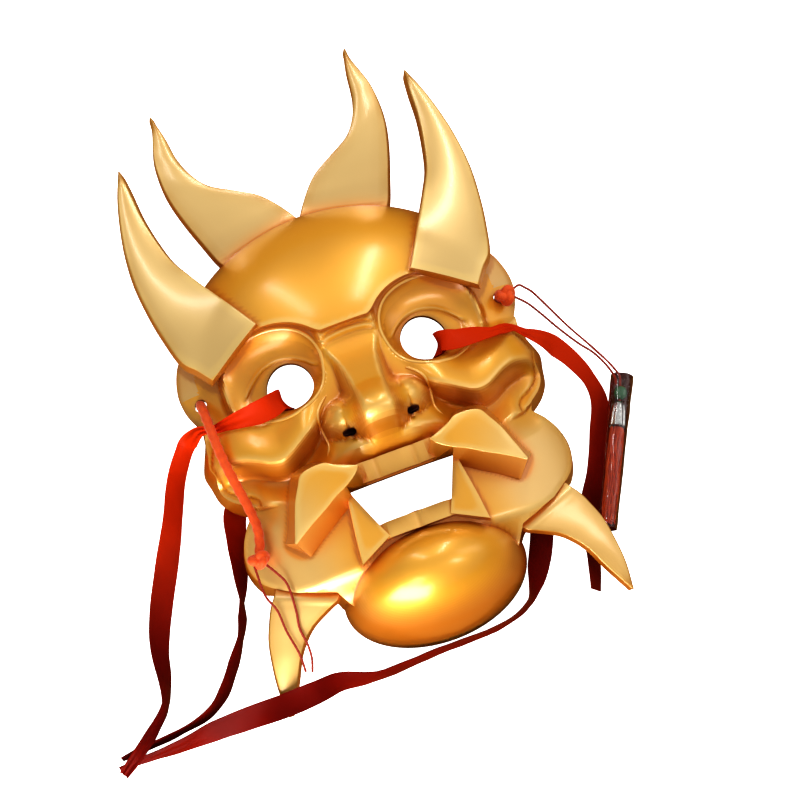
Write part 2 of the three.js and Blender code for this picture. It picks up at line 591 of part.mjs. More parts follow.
// A row of teeth: a slab with a groove between each tooth and the next.
function toothRow({ top, bottom, grooves }, half) {
  const shape = new THREE.Shape();
  const g = teeth.grooveWidth / 2;
  shape.moveTo(-half, teeth.back);
  shape.lineTo(-half, teeth.z - 1);
  shape.lineTo(-half + 1, teeth.z);
  for (const at of grooves) {
    shape.lineTo(at - g, teeth.z);
    shape.lineTo(at, teeth.z - teeth.groove);
    shape.lineTo(at + g, teeth.z);
  }
  shape.lineTo(half - 1, teeth.z);
  shape.lineTo(half, teeth.z - 1);
  shape.lineTo(half, teeth.back);
  const geometry = new THREE.ExtrudeGeometry(shape, { depth: top - bottom, bevelEnabled: false });
  geometry.rotateX(Math.PI / 2);
  geometry.translate(0, top, 0);
  return geometry;
}

function maskShell() {
  const outline = rimOutline();
  const face = solidOf(orientOut(netBlock(netColumns(columnStep), creaseRows, frontHeight, rimHeight)));
  let shell = face.intersect(solidOf(rimPrism(outline, () => 0, floorZ)));
  shell = shell.add(domeAboveFloor(cranium, 0).intersect(browBlock(0)));
  shell = shell.add(domeAboveFloor(chin, 0));
  const blades = [[flame, 9], [horn, 9], [upperTusk, 9], [fang, 2], [jawTusk, 7]];
  for (const side of [-1, 1]) {
    for (const [blade, steps] of blades) shell = shell.add(solidOf(bladeGeometry(blade, steps, side)));
  }
  shell = shell.add(solidOf(toothRow(upperTeeth, 26.5)));
  shell = shell.add(solidOf(toothRow(lowerTeeth, 19)));
  const hollowNet = solidOf(orientOut(netBlock(netColumns(innerStep), evenRows, innerHeight, () => -20)));
  const earGap = (x, y) => (Math.abs(x) > 72 && y > 2 && y < 42 ? -8 : wall);
  shell = shell.subtract(hollowNet.intersect(solidOf(rimPrism(outline, earGap, -10))));
  shell = shell.subtract(domeAboveFloor(cranium, wall).intersect(browBlock(wall)));
  shell = shell.subtract(domeAboveFloor(cranium, browPassage.worn).intersect(browBlock(-browPassage.reach)));
  shell = shell.subtract(domeAboveFloor(chin, wall));
  for (const side of [-1, 1]) {
    shell = shell.subtract(solidOf(uprightHole(side * eyeHole.x, eyeHole.y, eyeHole.rx, eyeHole.ry, 24)));
    shell = shell.subtract(solidOf(uprightHole(side * earHole.x, earHole.y, earHole.r, earHole.r, 12)));
    shell = shell.subtract(solidOf(ellipsoid(nostril, side)));
  }
  return shell.subtract(solidOf(mouthHole()));
}

// A flat strip along its stations, each with its own width and its own turn on edge.
function stripGeometry(stations) {
  const spine = new THREE.CatmullRomCurve3(stations.map(([x, y, z]) => new THREE.Vector3(x, y, z)), false, "centripetal");
  const spans = stations.length - 1;
  const stepsPerSpan = 2;
  let side = null;
  const across = stations.map((station, i) => {
    const before = stations[Math.max(i - 1, 0)];
    const after = stations[Math.min(i + 1, spans)];
    const flat = new THREE.Vector2(before[1] - after[1], after[0] - before[0]).normalize();
    if (side && side.dot(flat) < 0) flat.negate();
    side = flat;
    const tilt = THREE.MathUtils.degToRad(station[3]);
    return new THREE.Vector3(flat.x * Math.cos(tilt), flat.y * Math.cos(tilt), Math.sin(tilt));
  });
  const positions = [];
  const rings = spans * stepsPerSpan + 1;
  for (let i = 0; i < rings; i += 1) {
    const t = i / (rings - 1);
    const span = Math.min(Math.floor(i / stepsPerSpan), spans - 1);
    const share = i / stepsPerSpan - span;
    const centre = spine.getPoint(t);
    const wide = across[span].clone().lerp(across[span + 1], share);
    wide.addScaledVector(spine.getTangent(t), -wide.dot(spine.getTangent(t))).normalize();
    const thick = wide.clone().cross(spine.getTangent(t)).multiplyScalar(ribbonThick / 2);
    wide.multiplyScalar((stations[span][4] * (1 - share) + stations[span + 1][4] * share) / 2);
    for (const [u, v] of [[-1, -1], [1, -1], [1, 1], [-1, 1]]) {
      positions.push(...centre.clone().addScaledVector(wide, u).addScaledVector(thick, v).toArray());
    }
  }
  const faces = [0, 2, 1, 0, 3, 2];
  for (let i = 0; i < rings - 1; i += 1) {
    for (let k = 0; k < 4; k += 1) {
      const p = i * 4 + k;
      const q = i * 4 + ((k + 1) % 4);
      // Both broad sides bend along the same diagonal, so a twisted strip keeps its thickness.
      if (k === 2) faces.push(p, q, p + 4, q, q + 4, p + 4);
      else faces.push(p, q, q + 4, p, q + 4, p + 4);
    }
  }
  const end = (rings - 1) * 4;
  faces.push(end, end + 1, end + 2, end, end + 2, end + 3);
  return orientOut(geometryFrom(positions, faces));
}

// A round cord along its route.
function cordGeometry(route, radius, sides, steps) {
  const path = new THREE.CatmullRomCurve3(route.map((p) => new THREE.Vector3(...p)), false, "centripetal");
  const section = new THREE.Shape(Array.from({ length: sides }, (_, i) => {
    const turn = (i * 2 * Math.PI) / sides;
    return new THREE.Vector2(radius * Math.cos(turn), radius * Math.sin(turn));
  }));
  return new THREE.ExtrudeGeometry(section, { steps, extrudePath: path, bevelEnabled: false });
}

function knotGeometry(knot) {
  return ellipsoid(knot, 1);
}

// A knot whose end goes down through the ear's hole.
function stubbedKnot() {
  const stub = new THREE.CylinderGeometry(knotStub.radius, knotStub.radius, rightKnot.z - knotStub.from, 8);
  stub.rotateX(Math.PI / 2);
  stub.translate(knotStub.x, knotStub.y, (rightKnot.z + knotStub.from) / 2);
  return geometryOf(solidOf(knotGeometry(rightKnot)).add(solidOf(stub)));
}

// Sets a body that was turned on the Y axis onto the pendant's line, so far along it.
function alongPendant(geometry, at) {
  const from = new THREE.Vector3(...pendant.from);
  const line = new THREE.Vector3(...pendant.to).sub(from).normalize();
  geometry.applyQuaternion(new THREE.Quaternion().setFromUnitVectors(new THREE.Vector3(0, 1, 0), line));
  const place = from.addScaledVector(line, at);
  return geometry.translate(place.x, place.y, place.z);
}

function turned(profile, sides) {
  const points = profile.map(([r, h]) => new THREE.Vector2(r, h));
  return geometryOf(solidOf(orientOut(mergedOf(new THREE.LatheGeometry(points, sides)))));
}

function mergedOf(geometry) {
  const bare = geometry.clone();
  bare.deleteAttribute("normal");
  bare.deleteAttribute("uv");
  return mergeVertices(bare, 1e-4);
}

function sleeveGeometry() {
  const { length, mouth: wide, end, film, sides } = sleeve;
  const outside = [[wide, 0], [end, length]];
  const inside = [[end - film, length], [wide - film, 0]];
  return turned([...outside, ...inside, outside[0]], sides);
}

const object = new THREE.Group();

function addPiece(name, geometry, finish) {
  const mesh = new THREE.Mesh(geometry, new THREE.MeshStandardMaterial(finish));
  mesh.name = name;
  object.add(mesh);
}

addPiece("mask", geometryOf(maskShell()), gold);
addPiece("ribbon_left", stripGeometry(leftRibbon), redSatin);
addPiece("ribbon_right", stripGeometry(rightRibbon), redSatin);
addPiece("ear_cord", cordGeometry(earCord.route, earCord.radius, cordSides, earCord.steps), orangeCord);
addPiece("knot_left", knotGeometry(leftKnot), orangeCord);
addPiece("knot_right", stubbedKnot(), orangeCord);
for (const [name, [first, second]] of [["left", leftStrings], ["right", rightStrings]]) {
  addPiece(`string_${name}_a`, cordGeometry(first, thread.radius, thread.sides, thread.steps), redThread);
  addPiece(`string_${name}_b`, cordGeometry(second, thread.radius, thread.sides, thread.steps), redThread);
}
addPiece("bead", alongPendant(new THREE.SphereGeometry(bead.radius, 12, 8), bead.at), greenGlass);
addPiece("bell_cap", alongPendant(turned(cap.profile, 14), cap.at), silverMetal);
addPiece("tassel", alongPendant(turned(tassel.profile, 12), tassel.at), redYarn);
addPiece("film_sleeve", alongPendant(sleeveGeometry(), 0), clearFilm);

object.position.set(0, -middleY, 0);

export default object;
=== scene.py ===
# A gold demon mask that lies face up on its rim, with the ribbons, cords and pendant that hang from it.
import math

import bmesh
import bpy
import numpy as np
from mathutils import Matrix, Vector, noise
from mathutils.bvhtree import BVHTree


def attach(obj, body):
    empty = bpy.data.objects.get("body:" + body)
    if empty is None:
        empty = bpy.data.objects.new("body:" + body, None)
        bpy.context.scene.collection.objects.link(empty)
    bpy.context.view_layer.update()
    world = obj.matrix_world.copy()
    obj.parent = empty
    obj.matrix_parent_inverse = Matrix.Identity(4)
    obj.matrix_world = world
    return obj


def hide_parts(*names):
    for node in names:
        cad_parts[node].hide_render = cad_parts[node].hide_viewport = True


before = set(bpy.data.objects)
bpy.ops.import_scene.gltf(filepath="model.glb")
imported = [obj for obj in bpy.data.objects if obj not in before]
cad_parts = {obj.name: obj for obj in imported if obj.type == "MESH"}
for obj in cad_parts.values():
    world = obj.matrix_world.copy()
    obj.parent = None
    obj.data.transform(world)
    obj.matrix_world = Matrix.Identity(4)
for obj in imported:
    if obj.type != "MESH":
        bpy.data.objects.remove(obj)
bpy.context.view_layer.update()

# Camera.
# A long lens looks down on the lying mask from a little to its chin side, turned so that the horns lean left.
# Face sizes in this file are millimetres from the middle of the eye line, as a mask maker draws them.
MM = 0.001
EYE_LINE_Y = -12.05
CAMERA_TURN, CAMERA_TIP, CAMERA_ROLL = (math.radians(a) for a in (3.85, 12.8, 20.95))
CAMERA_DISTANCE = 1100
EYE_SPOT = (-42.65, 37.97)
PIXELS_PER_MM = 2


def placed(points):
    """Face millimetres to metres in the frame of the model."""
    return (np.asarray(points, float) + (0, EYE_LINE_Y, 0)) * MM


look = Vector((
    -math.sin(CAMERA_TURN) * math.cos(CAMERA_TIP),
    -math.sin(CAMERA_TIP),
    math.cos(CAMERA_TURN) * math.cos(CAMERA_TIP),
))
level = Vector((0, 1, 0)).cross(look).normalized()
upright = look.cross(level)
across = level * math.cos(CAMERA_ROLL) - upright * math.sin(CAMERA_ROLL)
along = level * math.sin(CAMERA_ROLL) + upright * math.cos(CAMERA_ROLL)
stand = Vector((0, 0, 50)) + look * CAMERA_DISTANCE
stand -= across * (EYE_SPOT[0] / PIXELS_PER_MM) + along * (EYE_SPOT[1] / PIXELS_PER_MM)
stand = Vector(placed(stand))
lens = bpy.data.cameras.new("photo_camera")
lens.sensor_width = 36
lens.lens = 36 * PIXELS_PER_MM * CAMERA_DISTANCE / 800
lens.clip_end = 20
camera = bpy.data.objects.new("photo_camera", lens)
bpy.context.collection.objects.link(camera)
camera.matrix_world = Matrix((
    (across.x, along.x, look.x, stand.x),
    (across.y, along.y, look.y, stand.y),
    (across.z, along.z, look.z, stand.z),
    (0, 0, 0, 1),
))
bpy.context.scene.camera = camera

# Mask shell.
# One moulded shell of thin plastic sprayed gold: face, ears, horns, flames, tusks and teeth in one.
# Its front is a height over the floor at every point of the face, and its back is that height less the wall.
WALL = 3
CRANIUM = dict(y=18, z=-10, rx=93, up=80, down=80, rz=76)
CHEEK_CROWN, CHEEK_FALL, CHEEK_REACH, CHEEK_POWER = 57, 33, 90, 2.6
BROW_X, BROW_Y, BROW_RX, BROW_RY, BROW_MIDDLE = 42.5, 3.5, 33, 28.7, 18.1
SOCKET_X, SOCKET_Y, SOCKET_RX, SOCKET_RY, SOCKET_POWER = 41.7, 7.3, 25.8, 23.2, 2.3
SOCKET_DEPTH, SOCKET_WALL = 9, 15
LID_LINE = [[0, 8], [14, 6], [20.5, 6.5], [25.2, 11], [30.1, 14.4], [37.7, 16.4], [45.2, 15.4], [50.2, 12.8],
            [55.2, 8.4], [58, 5.5], [64, 4], [98, 4]]
LID_STEP = 1.3
EYE_HOLE = (35.9, 0.4, 12, 13)
POUCH_RISE, POUCH_HOLLOW, POUCH_DROP, POUCH_DEPTH, POUCH_CROWN = 6.5, 10, 8, 27, 21
EAR_X, EAR_Z, EAR_FALL = 70, 33, 0.45
LOBE_UPPER, LOBE_LOWER, LOBE_REACH, LOBE_LEAN, LOBE_STEP, LOBE_BACK = 4, 5, 6, 8, 6, 15
LOBE_LINE = [[56, -52.5], [65.8, -50.3], [74, -47.5], [79, -44.5], [98, -43]]
BROW_END = [[66, 24], [70, 32], [78, 47], [98, 49]]
POUCH_EDGE = [[16, -9], [22, -13.5], [30.6, -22.9], [39.5, -28.9], [49.3, -33.9], [54.3, -34], [59.5, -32],
              [64.5, -28.8], [70, -25.8], [76, -23.9], [84, -23.6], [98, -27]]
RIDGE = [[-47, 60], [-43, 64], [-40.5, 71], [-38, 79], [-34, 84.5], [-30, 84], [-20, 77], [-10, 69.5],
         [0, 62.5], [8, 58.5], [14, 57], [20, 56.5]]
RIDGE_FLAT = [[-44, 5], [-34, 6], [-24, 6], [-12, 7], [0, 9], [8, 12], [14, 13], [20, 14]]
RIDGE_WIDTH = [[-44, 20], [-34, 22], [-24, 21], [-12, 20], [0, 20], [8, 22], [14, 25], [20, 27]]
NOSE_FOOT = 38
NOSE_TIP = dict(x=0, y=-30.5, z=57, rx=17, ry=15, rz=27)
NOSE_WING = dict(x=16, y=-27.5, z=44, rx=14.5, ry=14, rz=27.5)
NOSTRIL = dict(x=14.4, y=-35.8, z=65, rx=7.2, ry=1.7, rz=4.2)
ROOT_LINE = [[0, 12.3], [6, 11.9], [10, 11.2], [13, 9.9], [17, 8], [40, 8]]
LIP_Y, LIP_FOOT, LIP_RISE, LIP_WIDTH = -44.5, -51.6, 9, 33
CHIN = dict(y=-111, z=2, rx=48.5, up=28.8, down=30.5, rz=74)
MOUTH = [(-27.6, -61.8), (-18.8, -83.3), (0, -81.9), (18.8, -83.3), (27.6, -61.8)]
TEETH_Z, TEETH_BACK, TOOTH_GROOVE = 60.5, 53, 0.9
EAR_HOLE = (81.3, 12, 3.2, 3.2)
CROWN_RX, CROWN_RY = 92, 79
EAR_RIM = [[80.5, 41, 0], [85.5, 36.5, 0], [89.3, 28.5, 0], [90.9, 20, 0], [90, 12, 0], [87.3, 5, 0],
           [85, 0.5, 0]]
UPPER_LOBE_RIM = [[87.2, -3.5, 3], [91.5, -11, 7], [94.6, -19.5, 9], [93.2, -27.5, 9], [91, -36, 8],
                  [86, -42.5, 6], [77.5, -48.3, 3]]
LOWER_LOBE_RIM = [[82.3, -54, 3], [86.6, -61.4, 3], [88.8, -68.7, 3], [89, -75, 3], [87.6, -81, 3],
                  [84.6, -87, 3], [80.5, -91.5, 3]]
JAW_RIM = [[70, -99, 3], [59, -103.5, 3], [50.5, -106.5, 3]]
CHIN_RIM = [[44, -112, 0], [38, -119, 0], [26, -125, 0], [12, -128, 0], [0, -128.5, 0]]
LEAN_HEIGHT = 32
NET_HALF, NET_STEP, NET_BOTTOM = 98, 1, -132
HOLLOW_STEP = 3

BLADES = {
    "flame": dict(
        inner=[[-6, 78, 22], [1, 94, 14], [8, 104.5, 14.5], [16, 112.8, 15.5], [26.3, 118.8, 16.5],
               [38.5, 126, 17], [45, 134.5, 17], [49.3, 146, 16], [52, 163, 15], [54.6, 174, 14]],
        outer=[[33, 68, 22], [45.5, 82, 14], [52.6, 99.4, 15], [58, 115.5, 16.5], [60.7, 127, 17],
               [61.6, 138, 17], [61, 149.5, 16], [58.5, 159.5, 15], [56.2, 167.5, 14.5], [55.4, 174, 14]],
        thick=7, flare=1, crown=1.2, arris=0.9),
    "horn": dict(
        inner=[[41, 33.6, 61.5], [47.9, 46.6, 55], [53.3, 56.9, 48], [60.5, 70, 40.5], [66, 80.5, 36],
               [70.3, 89.5, 32.5], [74.4, 104.8, 28], [77.2, 120.5, 24.5], [78.5, 137, 21], [79.8, 149, 19]],
        outer=[[71, 16.4, 50], [77, 25, 47.5], [82.2, 31.3, 46], [87.8, 51.7, 40], [90.5, 68, 36],
               [92, 85.5, 32], [91.2, 104, 28], [88.5, 121.5, 24.5], [84.8, 137.5, 21], [80.6, 149.6, 19]],
        thick=8, flare=1.2, crown=1.5, arris=1.1),
    "upper_tusk": dict(
        inner=[[18.7, -54.3, 72.5], [20.5, -57, 73], [26.2, -61.2, 73], [34, -64.9, 72], [40.7, -68.8, 71],
               [48.5, -72.8, 69.5], [54.4, -76.1, 68], [59.6, -79.2, 66.5]],
        outer=[[19.2, -53.6, 72.5], [30, -49.3, 73], [34, -47.1, 73], [46.2, -48.3, 71.5], [49.8, -53.5, 71],
               [53.5, -60.1, 70], [57.2, -69.5, 68], [60.4, -78.4, 66.5]],
        thick=19, flare=6.5, crown=0.8, arris=0.8),
    "fang": dict(
        inner=[[15.6, -90, 61.5], [18.6, -83.3, 61.5], [23.3, -71.8, 61.5], [27.2, -61, 61.5]],
        outer=[[33, -99, 61.5], [31.8, -87, 61.5], [30.1, -74, 61.5], [28, -60.6, 61.5]],
        thick=8, flare=0.6, crown=0, arris=0.5),
    "jaw_tusk": dict(
        inner=[[46, -99, 34], [50, -106.8, 37], [55, -109, 35.5], [65.5, -113.9, 32], [71.6, -119, 29],
               [76.6, -125.2, 26], [82.6, -136.3, 20], [90.8, -149.9, 13]],
        outer=[[74, -84, 26], [79, -93.9, 34], [82.1, -98.1, 33], [85.7, -105, 30], [88.9, -112.6, 27],
               [91, -122.4, 24], [92.6, -136, 19], [92, -149.9, 13]],
        thick=6, flare=0.8, crown=1, arris=0.8),
}
BLADE_STATIONS = 72


def ease(start, stop, t):
    share = np.clip((t - start) / (stop - start), 0, 1)
    return share * share * (3 - 2 * share)


def blend_max(a, b, soft):
    near = np.maximum(soft - np.abs(a - b), 0) / soft
    return np.maximum(a, b) + near * near * soft / 4


def line_at(points, t):
    """A smooth line through a few points, read at one abscissa."""
    x, y = np.asarray(points, float).T
    slope = np.empty(len(x))
    slope[1:-1] = (y[2:] - y[:-2]) / (x[2:] - x[:-2])
    slope[0] = (y[1] - y[0]) / (x[1] - x[0])
    slope[-1] = (y[-1] - y[-2]) / (x[-1] - x[-2])
    t = np.clip(t, x[0], x[-1])
    i = np.clip(np.searchsorted(x, t, "right") - 1, 0, len(x) - 2)
    span = x[i + 1] - x[i]
    s = (t - x[i]) / span
    return ((2 * s**3 - 3 * s**2 + 1) * y[i] + (s**3 - 2 * s**2 + s) * span * slope[i]
            + (3 * s**2 - 2 * s**3) * y[i + 1] + (s**3 - s**2) * span * slope[i + 1])


def dome_share(dx, dy):
    return np.sqrt(np.maximum(0, 1 - dx * dx - dy * dy))


def brow_line(ax):
    """The brow's lower edge: flat over the nose and arched over each eye."""
    reach = (ax - BROW_X) / BROW_RX
    arch = BROW_Y + BROW_RY * np.sqrt(np.maximum(0, 1 - reach * reach))
    return np.where(ax < BROW_X, blend_max(BROW_MIDDLE, arch, 4), np.maximum(arch, 14))


def socket_reach(ax, y):
    dx = np.abs(ax - SOCKET_X) / SOCKET_RX
    dy = np.abs(y - SOCKET_Y) / SOCKET_RY
    return (dx**SOCKET_POWER + dy**SOCKET_POWER) ** (1 / SOCKET_POWER)


def socket_depth(ax, y):
    """The bowl round each eye. The upper lid ends in a small step over the eyeball."""
    inside = np.maximum(1 - socket_reach(ax, y), 0) * (SOCKET_RX + SOCKET_RY) / 2
    bowl = 1 - (1 - np.minimum(inside / SOCKET_WALL, 1)) ** 2.2
    below = line_at(LID_LINE, ax) - y
    on_ball = ease(0, 1.1, below) * ease(17, 23, ax) * (1 - ease(56, 61, ax)) * ease(-10, 4, y)
    round_ball = 1 - np.minimum(np.hypot((ax - 39) / 21, (y + 1) / 19), 1) ** 2
    return (SOCKET_DEPTH * bowl + LID_STEP * on_ball - 1.6 * round_ball) * ease(-18, -8, y)


def pouch_height(ax, y):
    """The bag under each eye, the fall below its edge and the slow rise after it."""
    above = y - line_at(POUCH_EDGE, ax)
    width = ease(20, 38, ax) * (1 - 0.8 * ease(72, 92, ax))
    fallen = ease(0, POUCH_DROP, -above)
    back = 1 - ease(POUCH_DROP, POUCH_DEPTH, -above)
    swell = POUCH_RISE * width * (1 - ease(1, POUCH_CROWN, above))
    drop = width * (POUCH_RISE * (1 - fallen) - POUCH_HOLLOW * fallen * back)
    return np.where(above >= 0, swell, drop)


def nose_height(ax, y):
    top = line_at(RIDGE, y)
    form = NOSE_FOOT + (top - NOSE_FOOT) * (1 - ease(line_at(RIDGE_FLAT, y), line_at(RIDGE_WIDTH, y), ax))
    for part, soft in ((NOSE_TIP, 16), (NOSE_WING, 17)):
        round_part = dome_share((ax - part["x"]) / part["rx"], (y - part["y"]) / part["ry"]) ** 1.6
        form = blend_max(form, np.where(round_part > 0, part["z"] + part["rz"] * round_part, 0), soft)
    return form


def root_height(ax, y):
    """Two folds of skin between the brow and the bridge of the nose."""
    over = y - line_at(ROOT_LINE, ax)
    fold = 3.4 * ease(0.2, 3.4, over) + 1.6 * ease(4.6, 6, over)
    return fold * (1 - ease(13.5, 17.5, ax)) + 0.5 * np.exp(-((over / 0.8) ** 2)) * (1 - ease(13.5, 16, ax))


def lip_height(ax, y):
    fade = 1 - ease(LIP_WIDTH * 0.35, LIP_WIDTH, ax)
    return LIP_RISE * fade * (1 - ease(LIP_Y + 1, LIP_FOOT, y)) * (1 - ease(LIP_Y + 1, LIP_Y + 14, y))


def centripetal(points, steps):
    """Points on the smooth curve through a few stations, evenly spread over its spans."""
    p = np.asarray(points, float)
    p = np.vstack([2 * p[0] - p[1], p, 2 * p[-1] - p[-2]])
    t = np.linspace(0, len(p) - 3, steps + 1)
    i = np.minimum(t.astype(int), len(p) - 4)
    w = (t - i)[:, None]
    a, b, c, d = p[i], p[i + 1], p[i + 2], p[i + 3]
    gap = [np.maximum(np.linalg.norm(v - u, axis=1), 1e-8)[:, None] ** 0.5
           for u, v in ((a, b), (b, c), (c, d))]
    start = ((b - a) / gap[0] - (c - a) / (gap[0] + gap[1]) + (c - b) / gap[1]) * gap[1]
    end = ((c - b) / gap[1] - (d - b) / (gap[1] + gap[2]) + (d - c) / gap[2]) * gap[1]
    return b + start * w + (-3 * b + 3 * c - 2 * start - end) * w**2 + (2 * b - 2 * c + start + end) * w**3


side_rim = np.vstack([centripetal(EAR_RIM, 42), centripetal(UPPER_LOBE_RIM, 56),
                      centripetal(LOWER_LOBE_RIM, 48), np.asarray(JAW_RIM, float)])


def rim_distance(ax, y):
    nearest = np.full(np.shape(ax), 1e9)
    for (x0, y0), (x1, y1) in zip(side_rim[:-1, :2], side_rim[1:, :2]):
        dx, dy = x1 - x0, y1 - y0
        share = np.clip(((ax - x0) * dx + (y - y0) * dy) / max(dx * dx + dy * dy, 1e-9), 0, 1)
        nearest = np.minimum(nearest, np.hypot(ax - x0 - share * dx, y - y0 - share * dy))
    return nearest


def lobe_shape(ax, y):
    """The rounded border of the two cheek lobes and the step where the upper one overhangs the lower."""
    below = line_at(LOBE_LINE, ax) - y
    on_upper = (1 - ease(0, 2, below)) * (1 - ease(-6, 0, y))
    on_lower = ease(0, 2, below)
    depth = LOBE_UPPER * on_upper + LOBE_LOWER * on_lower
    inside = rim_distance(ax, y) - LOBE_LEAN * on_upper
    near = np.clip(1 - inside / LOBE_REACH, 0, 1)
    rounding = depth * (1 - np.sqrt(1 - near * near))
    step = ease(0, 2, below) * (1 - ease(2, LOBE_BACK, below)) * ease(56, 74, ax)
    return np.where(ax < 54, 0, -rounding - LOBE_STEP * step)


def front_height(x, y):
    """Height of the face over the floor, without the brow, the chin and the blades that stand on it."""
    ax = np.abs(x)
    cheek = CHEEK_CROWN - CHEEK_FALL * (ax / CHEEK_REACH) ** CHEEK_POWER
    middle = cheek - 3 * ease(-70, -105, y) - 14 * ease(-97, -112, y)
    relief = middle - socket_depth(ax, y) + pouch_height(ax, y) + lip_height(ax, y) + lobe_shape(ax, y)
    plate = EAR_Z - EAR_FALL * (ax - EAR_X)
    on_ear = ease(1, 1.12, socket_reach(ax, y)) * ease(58, 64, ax) * ease(-10, 1, y)
    with_nose = np.where(ax < 40, blend_max(relief, nose_height(ax, y) + root_height(ax, y), 4), relief)
    return np.where(y <= -48, relief, with_nose * (1 - on_ear) + plate * on_ear)


def hollow_height(x, y):
    """The back of the wall: a wall's thickness under the lowest point of the front nearby."""
    height = front_height(x, y)
    for turn in np.arange(8) * math.pi / 4:
        for reach in (1.5, 3):
            height = np.minimum(height, front_height(x + reach * math.cos(turn), y + reach * math.sin(turn)))
    return height - WALL


def rim_height(x, y):
    """The rim rests at the crown and the chin and is lifted between them."""
    ax = np.abs(x)
    side = 8 * ease(52, 66, ax) * (1 - ease(48, 62, y)) * ease(-112, -104, y)
    ear = 19 * ease(70, 80, ax) * ease(-6, 2, y) * (1 - ease(44, 54, y))
    jaw = 20 * ease(-84, -94, y) * ease(46, 54, ax) * ease(-114, -108, y)
    return np.maximum(side, np.maximum(ear, jaw))


def mesh_of(name, points, faces):
    """A mesh whose faces look outward, from points in any unit."""
    points = np.asarray(points, float)
    mesh = bpy.data.meshes.new(name)
    mesh.from_pydata(points.tolist(), [], [list(map(int, f)) for f in faces])
    mesh.calc_loop_triangles()
    corners = np.empty(len(mesh.loop_triangles) * 3, np.int32)
    mesh.loop_triangles.foreach_get("vertices", corners)
    a, b, c = (points[corners[k::3]] for k in range(3))
    if np.einsum("ij,ij->i", a, np.cross(b, c)).sum() < 0:
        mesh.flip_normals()
    return mesh


def net_block(name, xs, rows_at, top_at, under_at):
    """A closed block over a net of columns and rows, between two heights."""
    y = np.array([rows_at(abs(x)) for x in xs])
    x = np.repeat(np.asarray(xs, float)[:, None], y.shape[1], 1)
    points = np.vstack([np.stack([x, y, at(x, y)], 2).reshape(-1, 3) for at in (top_at, under_at)])
    columns, rows = y.shape
    under = columns * rows
    grid = np.arange(under).reshape(columns, rows)
    a, b, c, d = grid[:-1, :-1].ravel(), grid[:-1, 1:].ravel(), grid[1:, 1:].ravel(), grid[1:, :-1].ravel()
    left = np.repeat(np.asarray(xs[:-1]) < 0, rows - 1)
    first = np.where(left[:, None], np.stack([a, b, c], 1), np.stack([a, b, d], 1))
    second = np.where(left[:, None], np.stack([a, c, d], 1), np.stack([b, c, d], 1))
    faces = np.vstack([first, second, first[:, ::-1] + under, second[:, ::-1] + under])
    edge = np.concatenate([grid[:, 0], grid[-1, 1:], grid[-2::-1, -1], grid[0, -2:0:-1]])
    after = np.roll(edge, -1)
    walls = np.vstack([np.stack([edge, after + under, after], 1),
                       np.stack([edge, edge + under, after + under], 1)])
    return mesh_of(name, points, np.vstack([faces, walls[:, ::-1]]))


def net_top(ax):
    return brow_line(ax) + 1.5 if ax < BROW_END[0][0] else float(line_at(BROW_END, ax))


def crease_rows(ax):
    """Rows from the brow down, set close on both sides of the lid, the pouch edge and the lobes."""
    pouch, lobe, lid = (float(line_at(line, ax)) for line in (POUCH_EDGE, LOBE_LINE, LID_LINE))
    marks = [(float(net_top(ax)), 26), (lid + 0.2, 2), (lid - 1.2, 18), (-6, 16), (pouch + 0.3, 9),
             (pouch - POUCH_DROP, 18), (lobe + 0.3, 2), (lobe - 2, 34), (-91, 22), (NET_BOTTOM, 0)]
    rows = [np.linspace(top, stop, count, endpoint=False)
            for (top, count), (stop, _) in zip(marks[:-1], marks[1:])]
    return np.append(np.concatenate(rows), NET_BOTTOM)


def hollow_rows(ax):
    return np.linspace(float(net_top(ax)) - 1.5, NET_BOTTOM, 61)


def net_columns(step):
    half = math.ceil(NET_HALF / step)
    return np.arange(-half, half + 1) * float(step)


def prism(name, outline, low, high):
    """An upright prism on an outline."""
    outline = np.asarray(outline, float)
    count = len(outline)
    points = np.vstack([np.c_[outline, np.full(count, low)], np.c_[outline, np.full(count, high)]])
    ring = [[i, (i + 1) % count, (i + 1) % count + count, i + count] for i in range(count)]
    return mesh_of(name, points, ring + [list(range(count))[::-1], list(range(count, 2 * count))])


def rim_prism(name, inset_at, base):
    """A prism on the rim outline. Its wall leans in up to the lean height and is upright above that."""
    turns = np.radians(np.arange(90, 28, -2.5))
    crown = np.stack([CROWN_RX * np.cos(turns), CRANIUM["y"] + CROWN_RY * np.sin(turns), 0 * turns], 1)
    half = np.vstack([crown, side_rim, np.asarray(CHIN_RIM, float)])
    outline = np.vstack([half[:-1] * (1, 1, 1), half[:0:-1] * (-1, 1, 1)])
    outline = outline[::-1]
    along_rim = np.roll(outline, -1, 0)[:, :2] - np.roll(outline, 1, 0)[:, :2]
    along_rim /= np.linalg.norm(along_rim, axis=1)[:, None]
    inward = np.stack([-along_rim[:, 1], along_rim[:, 0]], 1)
    inset = inset_at(outline[:, 0], outline[:, 1])
    rings = []
    for height, share in ((base, 0), (LEAN_HEIGHT, 1), (120, 1)):
        shift = (inset + outline[:, 2] * share)[:, None]
        rings.append(np.c_[outline[:, :2] + shift * inward, np.full(len(outline), height)])
    count = len(outline)
    faces = [[i + low, (i + 1) % count + low, (i + 1) % count + low + count, i + low + count]
             for low in (0, count) for i in range(count)]
    faces += [list(range(count))[::-1], list(range(2 * count, 3 * count))]
    return mesh_of(name, np.vstack(rings), faces)


def ball_mesh(name, sides, rings, place):
    """A ball of unit radius whose points are moved by a function."""
    bm = bmesh.new()
    bmesh.ops.create_uvsphere(bm, u_segments=sides, v_segments=rings, radius=1)
    for v in bm.verts:
        v.co = place(v.co.copy())
    mesh = bpy.data.meshes.new(name)
    bm.to_mesh(mesh)
    bm.free()
    return mesh


